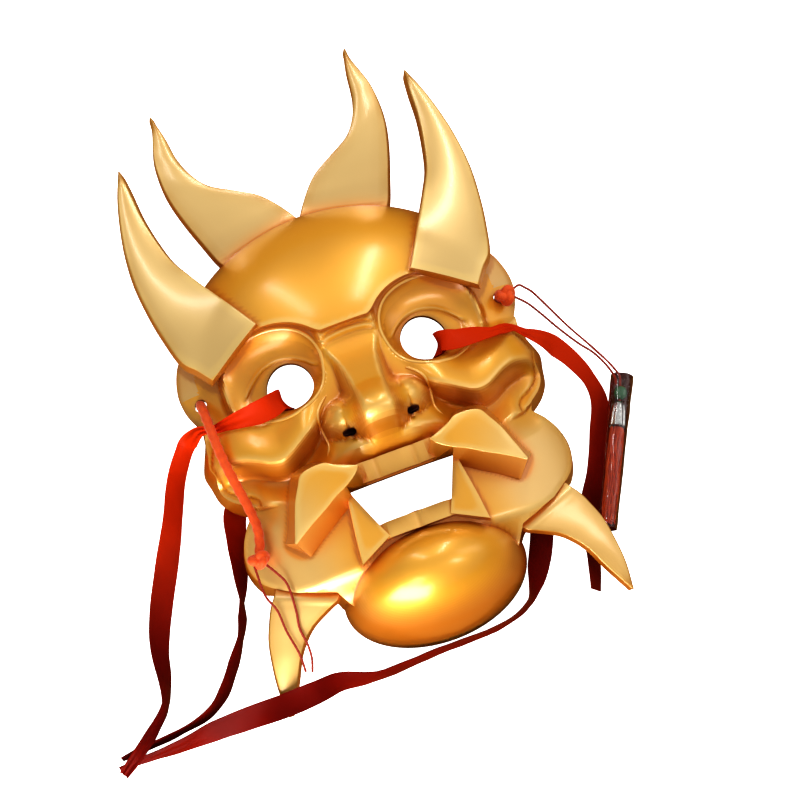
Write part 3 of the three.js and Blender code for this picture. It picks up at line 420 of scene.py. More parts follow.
def dome_mesh(name, form, worn):
    def place(p):
        wide, tall = form["rx"] - worn, form["rz"] - worn
        reach = (form["up"] if p.y > 0 else form["down"]) - worn
        return Vector((p.x * wide, p.y * reach + form["y"], p.z * tall + form["z"]))
    return ball_mesh(name, 160, 80, place)


def brow_block(name, gap):
    """Everything above the brow's lower edge."""
    ax = np.linspace(0, BROW_END[0][0], 80)
    half = np.vstack([np.stack([ax, brow_line(ax) + gap], 1), np.asarray(BROW_END, float) + (0, gap),
                      [(110, 60), (110, 120)]])
    return prism(name, np.vstack([half[:0:-1] * (-1, 1), half]), -50, 150)


def blade_mesh(name, form, side):
    """A blade between two edges: crowned front, rounded arrises, sides that flare towards a flat back."""
    a, b = centripetal(form["inner"], BLADE_STATIONS), centripetal(form["outer"], BLADE_STATIONS)
    rings = []
    for start, stop in zip(a, b):
        reach = stop - start
        width = np.linalg.norm(reach)
        reach = reach / width
        soft = min(form["arris"], width / 3)
        profile = [(-form["flare"], -form["thick"])]
        for turn in np.radians((0, 22.5, 45, 67.5, 90)):
            profile.append((soft - soft * math.cos(turn), soft * math.sin(turn) - soft))
        crown = form["crown"] * min(1, width / 20)
        front = [(soft + (width - 2 * soft) * s, crown * 4 * s * (1 - s)) for s in (0.12, 0.25, 0.38, 0.5)]
        half = profile + front
        other = [(width - u, h) for u, h in half[:-1]][::-1]
        rings.append([start + reach * u + np.array((0, 0, h)) for u, h in half + other])
    rings = np.array(rings) * (side, 1, 1)
    steps, sides = rings.shape[:2]
    faces = []
    for i in range(steps - 1):
        for k in range(sides):
            p, q = i * sides + k, i * sides + (k + 1) % sides
            faces += [[p, q, q + sides], [p, q + sides, p + sides]]
    faces += [list(range(sides))[::-1], list(range((steps - 1) * sides, steps * sides))]
    return mesh_of(name, rings.reshape(-1, 3), faces)


def tooth_row(name, top, bottom, grooves, half):
    """A slab with a groove between each tooth and the next, each tooth a little crowned."""
    edges = [-half, *grooves, half]
    profile = [(-half, TEETH_BACK)]
    for left, right in zip(edges[:-1], edges[1:]):
        for share in (0.02, 0.05, 0.1, 0.2, 0.35, 0.5, 0.65, 0.8, 0.9, 0.95, 0.98):
            crown = TOOTH_GROOVE * (1 - abs(2 * share - 1) ** 6) + 0.5 * (1 - (2 * share - 1) ** 2)
            profile.append((left + (right - left) * share, TEETH_Z - TOOTH_GROOVE + crown - 0.3))
    profile.append((half, TEETH_BACK))
    count = len(profile)
    points = [(x, y, z) for y in (top, bottom) for x, z in profile]
    ring = [[i, (i + 1) % count, (i + 1) % count + count, i + count] for i in range(count)]
    return mesh_of(name, points, ring + [list(range(count))[::-1], list(range(count, 2 * count))])


def ellipsoid_mesh(name, form, side):
    def place(p):
        x = p.x * form["rx"] + side * form["x"]
        return Vector((x, p.y * form["ry"] + form["y"], p.z * form["rz"] + form["z"]))
    return ball_mesh(name, 32, 20, place)


def round_hole(name, x, y, rx, ry):
    turns = np.linspace(0, 2 * math.pi, 72, endpoint=False)
    return prism(name, np.stack([x + rx * np.cos(turns), y + ry * np.sin(turns)], 1), -30, 160)


def tube_mesh(name, centres, radius, sides=12, shape=None):
    """A closed tube along ring centres. shape(ring, turns) gives each ring's own radii."""
    centres = np.asarray(centres, float)
    tangent = np.gradient(centres, axis=0)
    tangent /= np.linalg.norm(tangent, axis=1)[:, None]
    turns = np.linspace(0, 2 * math.pi, sides, endpoint=False)
    side = np.cross(tangent[0], (0, 0, 1) if abs(tangent[0][2]) < 0.9 else (1, 0, 0))
    rings = []
    for i, (centre, t) in enumerate(zip(centres, tangent)):
        side = side - t * np.dot(side, t)
        side /= np.linalg.norm(side)
        up = np.cross(t, side)
        reach = radius if shape is None else shape(i, turns)
        reach = np.broadcast_to(reach, turns.shape)[:, None]
        rings.append(centre + reach * (np.cos(turns)[:, None] * side + np.sin(turns)[:, None] * up))
    count = len(rings)
    faces = [[low + k, low + (k + 1) % sides, low + (k + 1) % sides + sides, low + k + sides]
             for low in range(0, (count - 1) * sides, sides) for k in range(sides)]
    faces += [list(range(sides))[::-1], list(range((count - 1) * sides, count * sides))]
    return mesh_of(name, np.vstack(rings), faces)


def bead_mesh(name, line, radius, sunk, side, steps):
    """A thin raised line that follows the front of the face."""
    flat = centripetal([(x, y, 0) for x, y in line], steps)
    height = front_height(flat[:, 0], flat[:, 1]) - sunk
    kernel = np.ones(5) / 5
    height = np.convolve(np.pad(height, 2, "edge"), kernel, "valid")
    swell = np.clip(np.minimum(np.arange(steps + 1), steps - np.arange(steps + 1)) / (0.12 * steps), 0.25, 1)
    points = np.c_[flat[:, 0] * side, flat[:, 1], height - (1 - swell) * radius]
    return tube_mesh(name, points, radius, 10, lambda i, turns: radius * swell[i])


def combined(name, base, steps):
    """base with meshes joined to it, cut from it or kept in common, one after another."""
    work = bpy.data.objects.new(name, base)
    bpy.context.collection.objects.link(work)
    tools = []
    for how, mesh in steps:
        tool = bpy.data.objects.new(name + "_tool", mesh)
        bpy.context.collection.objects.link(tool)
        tools.append(tool)
        cut = work.modifiers.new("cut", "BOOLEAN")
        cut.operation, cut.solver, cut.object = how, "MANIFOLD", tool
    result = bpy.data.meshes.new_from_object(work.evaluated_get(bpy.context.evaluated_depsgraph_get()))
    for o in [work, *tools]:
        old = o.data
        bpy.data.objects.remove(o)
        bpy.data.meshes.remove(old)
    result.name = name
    return result


above_floor = prism("above_floor", [(-200, -200), (200, -200), (200, 250), (-200, 250)], 0, 200)
brow = combined("brow", dome_mesh("cranium", CRANIUM, 0),
                [("INTERSECT", above_floor.copy()), ("INTERSECT", brow_block("brow_cut", 0))])
brow_hollow = combined("brow_hollow", dome_mesh("cranium_worn", CRANIUM, WALL),
                       [("INTERSECT", brow_block("brow_worn_cut", WALL))])
brow_passage = combined("brow_passage", dome_mesh("cranium_passage", CRANIUM, 16),
                        [("INTERSECT", brow_block("brow_passage_cut", -6))])
jaw_ball = combined("jaw_ball", dome_mesh("chin", CHIN, 0), [("INTERSECT", above_floor)])


def hollow_inset(x, y):
    """The hollow keeps a wall inside the rim, but runs past it behind the ears, which are plates."""
    return np.where((np.abs(x) > 72) & (y > 2) & (y < 42), -8.0, WALL)


hollow_net = net_block("hollow_net", net_columns(HOLLOW_STEP), hollow_rows, hollow_height,
                       lambda x, y: np.full(x.shape, -20.0))
hollow = combined("hollow", hollow_net, [("INTERSECT", rim_prism("hollow_rim", hollow_inset, -10))])
SOCKET_BEAD = [(52, 28.4), (44, 30.4), (36, 30.1), (28.5, 27.9), (22.4, 24), (17.8, 17.6), (16, 10.5),
               (16.7, 3), (19, -4), (23.4, -9.6), (30, -13.6), (38, -15.6), (46, -15), (53.5, -11.8),
               (60, -7.4), (65, -2)]
CHEEK_FOLD = [(18.9, -11), (22.9, -13.8), (27.3, -18.7), (28.8, -23.5), (28.2, -29.5), (28, -36.5),
              (32.5, -43.6)]
layers = [("INTERSECT", rim_prism("rim", lambda x, y: np.zeros(x.shape), 0)),
          ("UNION", brow), ("UNION", jaw_ball)]
for side in (-1, 1):
    layers += [("UNION", blade_mesh(blade, form, side)) for blade, form in BLADES.items()]
    layers.append(("UNION", bead_mesh("socket_bead", SOCKET_BEAD, 1.1, 0.35, side, 90)))
    layers.append(("UNION", bead_mesh("cheek_fold", CHEEK_FOLD, 0.9, 0.35, side, 60)))
layers.append(("UNION", tooth_row("upper_teeth", -51, -61.2, (-10, 10), 26.5)))
layers.append(("UNION", tooth_row("lower_teeth", -83, -91, (0,), 19)))
layers += [("DIFFERENCE", m) for m in (hollow, brow_hollow, brow_passage, dome_mesh("chin_worn", CHIN, WALL))]
for side in (-1, 1):
    layers.append(("DIFFERENCE", round_hole("eye_hole", side * EYE_HOLE[0], *EYE_HOLE[1:])))
    layers.append(("DIFFERENCE", round_hole("ear_hole", side * EAR_HOLE[0], *EAR_HOLE[1:])))
    layers.append(("DIFFERENCE", ellipsoid_mesh("nostril", NOSTRIL, side)))
layers.append(("DIFFERENCE", prism("mouth", MOUTH, -10, 110)))
face_net = net_block("face", net_columns(NET_STEP), crease_rows, front_height, rim_height)
shell = combined("mask_shell", face_net, layers)


def finished(name, mesh, nodes, material, sharp=35):
    """Puts a mesh drawn in face millimetres into the model as one piece."""
    points = np.empty(len(mesh.vertices) * 3)
    mesh.vertices.foreach_get("co", points)
    mesh.vertices.foreach_set("co", placed(points.reshape(-1, 3)).ravel())
    mesh.polygons.foreach_set("use_smooth", np.ones(len(mesh.polygons), bool))
    mesh.set_sharp_from_angle(angle=math.radians(sharp))
    mesh.update()
    mesh.name = name
    mesh.materials.clear()
    mesh.materials.append(material)
    piece = bpy.data.objects.new(name, mesh)
    bpy.context.collection.objects.link(piece)
    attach(piece, "root")
    if nodes:
        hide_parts(*nodes)
    return piece


def group_of(name, inputs, outputs):
    """An empty shader group with named sockets."""
    group = bpy.data.node_groups.new(name, "ShaderNodeTree")
    for label, kind, value in inputs:
        group.interface.new_socket(label, in_out="INPUT", socket_type=kind).default_value = value
    for label, kind in outputs:
        group.interface.new_socket(label, in_out="OUTPUT", socket_type=kind)
    return group, group.nodes.new("NodeGroupInput"), group.nodes.new("NodeGroupOutput")


def wired(tree, kind, values=(), links=()):
    """A node with its plain values and the sockets that feed it."""
    made = tree.nodes.new(kind)
    for key, value in dict(values).items():
        if isinstance(key, str) and hasattr(made, key):
            setattr(made, key, value)
        else:
            made.inputs[key].default_value = value
    for key, source in dict(links).items():
        tree.links.new(source, made.inputs[key])
    return made


# Cloudy change of tone and fine grain, shared by every finish.
tone_group, tone_in, tone_out = group_of(
    "tone_and_grain",
    [("Light", "NodeSocketColor", (1, 1, 1, 1)), ("Dark", "NodeSocketColor", (0, 0, 0, 1)),
     ("Cloud Size", "NodeSocketFloat", 30.0), ("Grain Size", "NodeSocketFloat", 800.0)],
    [("Color", "NodeSocketColor"), ("Grain", "NodeSocketFloat")])
place_node = wired(tone_group, "ShaderNodeTexCoord")
cloud = wired(tone_group, "ShaderNodeTexNoise", {"Detail": 3.0},
              {"Vector": place_node.outputs["Object"], "Scale": tone_in.outputs["Cloud Size"]})
grain = wired(tone_group, "ShaderNodeTexNoise", {"Detail": 2.0},
              {"Vector": place_node.outputs["Object"], "Scale": tone_in.outputs["Grain Size"]})
tone = wired(tone_group, "ShaderNodeMix", {"data_type": "RGBA"})
tone_group.links.new(cloud.outputs["Fac"], tone.inputs["Factor"])
tone_group.links.new(tone_in.outputs["Dark"], tone.inputs["A"])
tone_group.links.new(tone_in.outputs["Light"], tone.inputs["B"])
tone_group.links.new(tone.outputs["Result"], tone_out.inputs["Color"])
tone_group.links.new(grain.outputs["Fac"], tone_out.inputs["Grain"])


GRAIN_DEPTH = 0.0002


def finish_of(name, light, dark, cloud_size, grain_size, bump, **shader):
    """A material in two close tones with a grain of its own."""
    material = bpy.data.materials.new(name)
    material.use_nodes = True
    tree = material.node_tree
    surface = tree.nodes["Principled BSDF"]
    tones = tree.nodes.new("ShaderNodeGroup")
    tones.name = "tones"
    tones.node_tree = tone_group
    tones.inputs["Light"].default_value = (*light, 1)
    tones.inputs["Dark"].default_value = (*dark, 1)
    tones.inputs["Cloud Size"].default_value = cloud_size
    tones.inputs["Grain Size"].default_value = grain_size
    tree.links.new(tones.outputs["Color"], surface.inputs["Base Color"])
    relief = wired(tree, "ShaderNodeBump", {"Strength": bump, "Distance": GRAIN_DEPTH},
                   {"Height": tones.outputs["Grain"]})
    tree.links.new(relief.outputs["Normal"], surface.inputs["Normal"])
    for key, value in shader.items():
        surface.inputs[key.replace("_", " ")].default_value = value
    return material


gold = finish_of(
    "gold", (0.92, 0.49, 0.05), (0.85, 0.41, 0.03), 26, 1500, 0.03,
    Metallic=0.5, Roughness=0.46, Coat_Weight=1.0, Coat_Roughness=0.22, Coat_IOR=1.6)
# Tints mixed into the gold's base colour. They are painted light and shade: a pale painted highlight on raised
# edges, horns, flames and lower lobes, and painted shade on outlines, hollows, steep walls, fine creases and
# nostrils.
GOLD_LAYERS = {
    "pale_gold": (0.78, 0.55, 0.22),
    "border": (0.52, 0.25, 0.03),
    "raised": (0.92, 0.66, 0.24),
    "sunk": (0.82, 0.28, 0.007),
    "steep": (0.60, 0.19, 0.004),
    "crease": (0.46, 0.12, 0.004),
    "nostril": (0.06, 0.014, 0.014),
}
gold_tree = gold.node_tree
gold_surface = gold_tree.nodes["Principled BSDF"]
gold_color = gold_tree.nodes["tones"].outputs["Color"]
for layer_name, tint in GOLD_LAYERS.items():
    share = wired(gold_tree, "ShaderNodeAttribute", {"attribute_name": layer_name})
    mixed = wired(gold_tree, "ShaderNodeMix", {"data_type": "RGBA"},
                  {"Factor": share.outputs["Fac"], "A": gold_color})
    mixed.inputs["B"].default_value = (*tint, 1)
    gold_color = mixed.outputs["Result"]
gold_tree.links.new(gold_color, gold_surface.inputs["Base Color"])
# No coat where the painted nostril shade lies, the last share mixed in above.
coat = wired(gold_tree, "ShaderNodeMath", {"operation": "SUBTRACT", 0: 1.0}, {1: share.outputs["Fac"]})
gold_tree.links.new(coat.outputs[0], gold_surface.inputs["Coat Weight"])


def painted(mesh, name, values, domain="POINT"):
    mesh.attributes.new(name, "FLOAT", domain).data.foreach_set("value", np.asarray(values, np.float32))


SKY = 200


def height_over_nearby(mesh, reach, cell=1.5):
    """The points of a shell, their height over the mean of the face round them, and how much face that is."""
    points = np.empty(len(mesh.vertices) * 3)
    mesh.vertices.foreach_get("co", points)
    points = points.reshape(-1, 3)
    low = points.min(axis=0) - 4 * reach
    count = np.ceil((points.max(axis=0) + 4 * reach - low) / cell).astype(int)
    tree = BVHTree.FromPolygons(points.tolist(), [list(f.vertices) for f in mesh.polygons])
    heights = np.zeros((count[0], count[1], 2))
    for i in range(count[0]):
        for j in range(count[1]):
            hit = tree.ray_cast((low[0] + i * cell, low[1] + j * cell, SKY), (0, 0, -1))[0]
            if hit:
                heights[i, j] = hit.z, 1
    spread = np.exp(-0.5 * (np.arange(-3 * reach, 3 * reach + 0.1, cell) / reach) ** 2)
    for axis in (0, 1):
        heights = np.apply_along_axis(np.convolve, axis, heights, spread, "same")
    i, j = ((points[:, k] - low[k]) / cell for k in (0, 1))
    i0, j0 = i.astype(int), j.astype(int)
    u, v = i - i0, j - j0
    around = []
    for values in (heights[..., 0] / np.maximum(heights[..., 1], 1e-6), heights[..., 1] / spread.sum() ** 2):
        around.append(values[i0, j0] * (1 - u) * (1 - v) + values[i0 + 1, j0] * u * (1 - v)
                      + values[i0, j0 + 1] * (1 - u) * v + values[i0 + 1, j0 + 1] * u * v)
    return points, points[:, 2] - around[0], around[1]


# Painted light and shade in the gold: raised edges are painted pale as a highlight, and creases and hollows
# are painted darker and redder as shade.
points, over, covered = height_over_nearby(shell, 3)
over_wide, covered_wide = height_over_nearby(shell, 7)[1:]
over_close = height_over_nearby(shell, 1, 0.5)[1]
point_x, point_y = np.abs(points[:, 0]), points[:, 1]
off_ear = 1 - ease(68, 74, point_x) * ease(-8, 0, point_y)
edge_highlight = np.maximum(0.45 * ease(0.7, 2.2, over), 0.55 * ease(0.06, 0.3, over_close))
hollow_shade = np.maximum(0.8 * ease(0.4, 3.0, -over), 0.7 * ease(0.5, 7, -over_wide))
in_socket = np.hypot((point_x - 41) / 27, (point_y - 7) / 22) < 0.86
on_teeth = (point_x < 27) & (np.abs(point_y + 56) < 5.5)
on_fine = 1 + 2.5 * in_socket + 3 * on_teeth
# Painted shade: the nostril pits are painted near black.
from_nostril = np.hypot((point_x - NOSTRIL["x"]) / NOSTRIL["rx"], (point_y - NOSTRIL["y"]) / NOSTRIL["ry"])
nostril_shade = np.hypot(from_nostril, (points[:, 2] - NOSTRIL["z"]) / NOSTRIL["rz"]) < 1.02
# Painted shade: a darker band along the outlines of face, horns and lobes, where the surface turns away from
# the light.
painted(shell, "border", 0.75 * ease(0.86, 0.52, covered) + 0.25 * ease(0.95, 0.6, covered_wide))
# Painted highlight: points standing above the face round them, and fine ridges, get a paler gold.
painted(shell, "raised", edge_highlight * ease(0.5, 0.9, covered))
# Painted shade: points lying below the face round them get a darker, redder gold, less of it on the ears.
painted(shell, "sunk", hollow_shade * (0.3 + 0.7 * off_ear))
# Painted shade: dark lines along fine creases, stronger in the eye sockets and between the teeth.
painted(shell, "crease", 0.5 * ease(0.1, 0.6, -over_close * on_fine))
painted(shell, "nostril", nostril_shade)
centres = np.empty(len(shell.polygons) * 3)
shell.polygons.foreach_get("center", centres)
centres = centres.reshape(-1, 3)
facing = np.empty(len(shell.polygons) * 3)
shell.polygons.foreach_get("normal", facing)
# Painted shade: faces that tilt away from the upright, such as the walls of the tusks, get a darker gold.
painted(shell, "steep", 0.85 * ease(0.6, 0.25, facing[2::3]), "FACE")
# Painted highlight: horns, flames and the lower cheek lobes get a paler gold for the bright light their faces
# catch.
reach_x, at_y, at_z = np.abs(centres[:, 0]), centres[:, 1], centres[:, 2]
dome_x, dome_y = reach_x / CRANIUM["rx"], (at_y - CRANIUM["y"]) / CRANIUM["up"]
over_dome = (at_z > CRANIUM["z"] + CRANIUM["rz"] * dome_share(dome_x, dome_y) + 0.1) & (at_y > CRANIUM["y"])
beyond_dome = np.hypot(dome_x, dome_y) > 1
on_blade = (over_dome & ((reach_x > 38) | (at_y > 60))) | (beyond_dome & (at_y > 40))
lobe_highlight = ease(-40, -70, at_y) * ease(28, 60, reach_x)
painted(shell, "pale_gold", np.where(on_blade, 1.0, 0.75 * lobe_highlight), "FACE")
finished("mask_shell", shell, ["mask"], gold, 32)

# Tie ribbons.
# Each is one strip of thin red satin, pushed through an eye hole. One tail crosses the temple and trails on
# the floor. The other runs behind the face and comes out under its rim. Nothing but the hole holds it.
RIBBON_WIDTH = 12
RIBBON_THICK = 0.4
RIBBON_STEPS = 6
RIBBON_SHARES = 13
CURL, FOLD, RIPPLE = 0.45, 0.9, 0.12
LEFT_RIBBON = [
    [-180, -147.8, 6, 0, 5], [-168.9, -140.8, 11.9, 33, 7], [-156.3, -130.1, 8, 62, 9],
    [-149.1, -122, 6.9, 81, 12], [-145.5, -109.9, 6.3, 63, 12], [-142.7, -93.6, 5.2, 44, 12],
    [-136.5, -76.7, 3.4, 24, 12], [-126.3, -55.6, 2.1, 11, 12], [-116.6, -37, 4.8, 40, 12],
    [-105.5, -13.2, 5.8, 46, 12], [-96.3, -2.5, 13, 57, 11], [-90.4, -0.8, 23, 35, 8],
    [-85.2, -1.2, 31, 30, 5], [-79.9, -3.4, 33.3, 45, 4], [-73.8, -5.2, 41, 45, 6],
    [-66.2, -6.6, 47.4, 42, 9], [-56.4, -7.8, 52.8, 32, 12], [-48.5, -7.2, 54.2, 22, 12],
    [-43.6, -5.2, 51.6, 8, 11], [-41.4, -4, 46, 0, 11], [-41.6, -5.2, 38, 0, 11], [-45.5, -9.5, 29, 0, 12],
    [-55, -17, 19, 0, 12], [-68, -28, 8, 0, 12], [-76, -34.5, 4, 0, 12], [-83.6, -41, 3, 8, 12],
    [-88.2, -57, 5.4, 38, 12], [-91.8, -72.8, 6, 56, 12], [-95.6, -86, 7, 83, 12],
    [-98.2, -94.2, 6.8, 74, 12], [-102.6, -103.7, 6.9, 80, 12], [-110.3, -114.8, 6.6, 69, 12],
    [-119.5, -126.4, 6.6, 69, 12], [-129.7, -133.6, 6.3, 73, 11], [-146.4, -137, 4.9, 77, 8],
    [-168.6, -138.6, 3.2, 63, 5], [-178.8, -139.6, 2.3, 58, 3],
]
RIGHT_RIBBON = [
    [74.6, -143.7, 6.2, 61, 12], [79.4, -129, 5.8, 54, 12], [83.2, -113.2, 5.1, 43, 12],
    [90.1, -98.8, 2.2, 10, 11], [98.3, -86.3, 2.2, 10, 11], [107.4, -66.7, 3.6, 26, 12],
    [112.8, -51.4, 5.2, 39, 12], [111.4, -39.7, 8.2, 44, 12], [106.8, -28.5, 11.1, 31, 12],
    [100, -19.3, 16.1, 21, 12], [93, -14.5, 25.1, 24, 9], [86.6, -10.4, 29, 18, 5],
    [80.9, -6.4, 32.2, 30, 5], [71.1, -7.9, 44.7, 45, 8], [60.4, -7.5, 51.2, 36, 12],
    [49.4, -7.2, 54.6, 22, 12], [43.6, -4.9, 52, 8, 11], [41.2, -4.1, 46, 0, 11], [41.4, -5.2, 38, 0, 11],
    [45.5, -9.7, 29, 0, 12], [53, -20, 19, 0, 12], [58, -38, 13, 0, 12], [60, -66, 10, 0, 12],
    [61.5, -92, 7, 0, 12], [60.5, -104, 4, 0, 12], [56.8, -113, 2.6, 0, 12], [51.8, -122, 3.4, 22, 12],
    [46.4, -130.5, 5.4, 55, 12], [40.5, -138, 6.6, 80, 12], [25.9, -143.6, 6.8, 84, 12],
    [-11.6, -144.8, 6.8, 80, 12], [-45.2, -145.8, 7.9, 74, 12], [-62.6, -143, 14.5, 48, 12],
    [-76.1, -144.6, 22.6, 25, 12], [-91.7, -145, 20.5, 0, 12], [-110.3, -143.6, 11.5, 24, 12],
    [-130.6, -143, 5.9, 41, 12], [-148.5, -144, 5.1, 59, 10], [-164.4, -144, 3.9, 63, 7],
    [-181.3, -143.8, 2.4, 63, 3.5],
]


def strip_rings(stations):
    """Ring centres, the directions across and through, and the half width, along a strip."""
    stations = np.asarray(stations, float)
    spans = len(stations) - 1
    crossing, side = [], None
    for i, (x, y, z, tilt, width) in enumerate(stations):
        before, after = stations[max(i - 1, 0)], stations[min(i + 1, spans)]
        flat = np.array((before[1] - after[1], after[0] - before[0]))
        flat /= np.linalg.norm(flat)
        if side is not None and np.dot(side, flat) < 0:
            flat = -flat
        side = flat
        turn = math.radians(tilt)
        crossing.append((flat[0] * math.cos(turn), flat[1] * math.cos(turn), math.sin(turn)))
    crossing = np.array(crossing)
    spine = centripetal(stations[:, :3], spans * RIBBON_STEPS)
    tangent = np.gradient(spine, axis=0)
    tangent /= np.linalg.norm(tangent, axis=1)[:, None]
    t = np.linspace(0, spans, spans * RIBBON_STEPS + 1)
    i = np.minimum(t.astype(int), spans - 1)
    share = (t - i)[:, None]
    wide = crossing[i] * (1 - share) + crossing[i + 1] * share
    wide -= tangent * np.einsum("ij,ij->i", wide, tangent)[:, None]
    wide /= np.linalg.norm(wide, axis=1)[:, None]
    half = (stations[i, 4] * (1 - share[:, 0]) + stations[i + 1, 4] * share[:, 0]) / 2
    return spine, wide, np.cross(wide, tangent), half


def ribbon_mesh(name, rings, phase):
    """Satin is narrower where it is gathered, so its spare width lies in lengthwise folds there."""
    spine, wide, thick, half = rings
    us = np.linspace(-1, 1, RIBBON_SHARES)
    gathered = np.clip(1 - 2 * half / RIBBON_WIDTH, 0, 1)
    run = np.r_[0, np.cumsum(np.linalg.norm(np.diff(spine, axis=0), axis=1))]
    points = []
    for i in range(len(spine)):
        curl = CURL * np.sin(0.05 * run[i] + phase) * (1 - us * us)
        folds = FOLD * gathered[i] * np.sin(us * 7 + 0.04 * run[i] + phase)
        ripple = RIPPLE * np.sin(0.35 * run[i] + 2 * us + phase)
        lift = (curl + folds + ripple) * min(1, half[i] / 3)
        for sign, order in ((-1, us), (1, us[::-1])):
            shift = lift if sign < 0 else lift[::-1]
            points.append(spine[i] + order[:, None] * half[i] * wide[i]
                          + (shift + sign * RIBBON_THICK / 2)[:, None] * thick[i])
    sides = 2 * len(us)
    faces = []
    for i in range(len(spine) - 1):
        for k in range(sides):
            p, q = i * sides + k, i * sides + (k + 1) % sides
            faces.append([p, q, q + sides, p + sides])
    last = (len(spine) - 1) * sides
    for k in range(len(us) - 1):
        faces.append([k, sides - 1 - k, sides - 2 - k, k + 1])
        faces.append([last + k, last + k + 1, last + sides - 2 - k, last + sides - 1 - k])
    return mesh_of(name, np.vstack(points), faces)


def length_of(points):
    return float(np.linalg.norm(np.diff(np.asarray(points), axis=0), axis=1).sum())


satin = finish_of(
    "red_satin", (0.22, 0.007, 0.002), (0.07, 0.002, 0.001), 40, 60, 0.0,
    Metallic=0.0, Roughness=0.45, Specular_IOR_Level=0.07)
satin_tree = satin.node_tree
satin_surface = satin_tree.nodes["Principled BSDF"]
thread_place = wired(satin_tree, "ShaderNodeTexCoord")
satin_spot = wired(satin_tree, "ShaderNodeSeparateXYZ", {}, {"Vector": thread_place.outputs["Object"]})
# Painted light and shade on the satin: it is painted brighter by the temples, where it lies on the lit gold,
# and darker as shade where its tails trail past the chin.
SHADED_FROM, LIT_FROM = -0.115, -0.01
LIT_SATIN = (0.64, 0.042, 0.003)
painted_light_by_place = wired(satin_tree, "ShaderNodeMapRange",
                  {"interpolation_type": "SMOOTHSTEP", "From Min": SHADED_FROM, "From Max": LIT_FROM},
                  {"Value": satin_spot.outputs["Y"]})
satin_color = wired(satin_tree, "ShaderNodeMix", {"data_type": "RGBA"},
                    {"Factor": painted_light_by_place.outputs["Result"], "A": satin_tree.nodes["tones"].outputs["Color"]})
satin_color.inputs["B"].default_value = (*LIT_SATIN, 1)
satin_tree.links.new(satin_color.outputs["Result"], satin_surface.inputs["Base Color"])
threads = wired(satin_tree, "ShaderNodeTexWave",
                {"wave_type": "BANDS", "Scale": 900.0, "Distortion": 1.5, "Detail": 1.0},
                {"Vector": thread_place.outputs["Object"]})
thread_relief = wired(satin_tree, "ShaderNodeBump", {"Strength": 0.12, "Distance": 0.0001},
                      {"Height": threads.outputs["Fac"]})
satin_tree.links.new(thread_relief.outputs["Normal"], satin_surface.inputs["Normal"])

for node, stations, hole, phase in (("ribbon_left", LEFT_RIBBON, 19, 0.4),
                                    ("ribbon_right", RIGHT_RIBBON, 17, 1.9)):
    whole = strip_rings(stations)
    at_hole = hole * RIBBON_STEPS
    front = tuple(part[at_hole::-1] for part in whole)
    back = tuple(part[at_hole:] for part in whole)
    for tail, rings in (("front", front), ("back", back)):
        piece = finished(f"{node}_{tail}", ribbon_mesh(node, rings, phase), [node], satin, 50)
        path = placed(rings[0])

# Ear cords.
# Soft orange cord, three strands laid together. On the left it comes up through the ear's hole and hangs down
# over the cheek to a knot; on the right only its knot shows, and its end goes down through the hole.
EAR_CORD_RADIUS = 2.6
EAR_CORD = [[-81.3, 12, 25], [-81.3, 12, 29], [-81, 9.5, 33.4], [-80.7, 3.5, 37], [-80.5, -6.1, 39.9],
            [-79.7, -21.4, 42.4], [-77.7, -36.8, 42.4], [-75.7, -50.4, 42], [-75.2, -60.7, 41.6],
            [-76.6, -67.5, 41.2], [-78.4, -72.4, 41]]
LEFT_KNOT = dict(x=-79.7, y=-75.4, z=41, rx=6.2, ry=4.8, rz=4.6)
RIGHT_KNOT = dict(x=84.2, y=10.5, z=33, rx=5.7, ry=5.7, rz=4.3)
KNOT_STRAND = 2.1
KNOT_END = dict(x=81.3, y=12, radius=2.7, low=20)


def laid_cord(name, centres, radius, strands, lay):
    """Strands twisted together, as a tube whose section has one lobe for each strand."""
    run = np.r_[0, np.cumsum(np.linalg.norm(np.diff(centres, axis=0), axis=1))]

    def section(i, turns):
        return radius * (0.93 + 0.07 * np.cos(strands * (turns + 2 * math.pi * run[i] / lay)))
    return tube_mesh(name, centres, radius, 24, section)


def knot_mesh(name, form, strand):
    """An overhand knot drawn tight: one strand that winds three times round itself."""
    turn = np.linspace(0, 2 * math.pi, 120)
    winds = np.stack([np.sin(turn) + 2 * np.sin(2 * turn), np.cos(turn) - 2 * np.cos(2 * turn),
                      -np.sin(3 * turn)], 1)
    winds *= np.array([form["rx"] - strand, form["ry"] - strand, form["rz"] - strand]) / (3, 3, 1)
    centre = (form["x"], form["y"], form["z"])
    bm = bmesh.new()
    heart = dict(form, rx=form["rx"] * 0.6, ry=form["ry"] * 0.6, rz=form["rz"] * 0.5)
    for part in (tube_mesh("winds", winds + centre, strand, 16), ellipsoid_mesh("heart", heart, 1)):
        bm.from_mesh(part)
        bpy.data.meshes.remove(part)
    mesh = bpy.data.meshes.new(name)
    bm.to_mesh(mesh)
    bm.free()
    work = bpy.data.objects.new(name, mesh)
    bpy.context.collection.objects.link(work)
    skin = work.modifiers.new("skin", "REMESH")
    skin.mode, skin.voxel_size = "VOXEL", 0.3
    soft = work.modifiers.new("soft", "SMOOTH")
    soft.factor, soft.iterations = 0.5, 4
    result = bpy.data.meshes.new_from_object(work.evaluated_get(bpy.context.evaluated_depsgraph_get()))
    bpy.data.objects.remove(work)
    bpy.data.meshes.remove(mesh)
    return result


orange = finish_of(
    "orange_cord", (0.92, 0.14, 0.006), (0.70, 0.07, 0.003), 300, 2500, 0.5,
    Metallic=0.0, Roughness=0.62, Sheen_Weight=0.3)

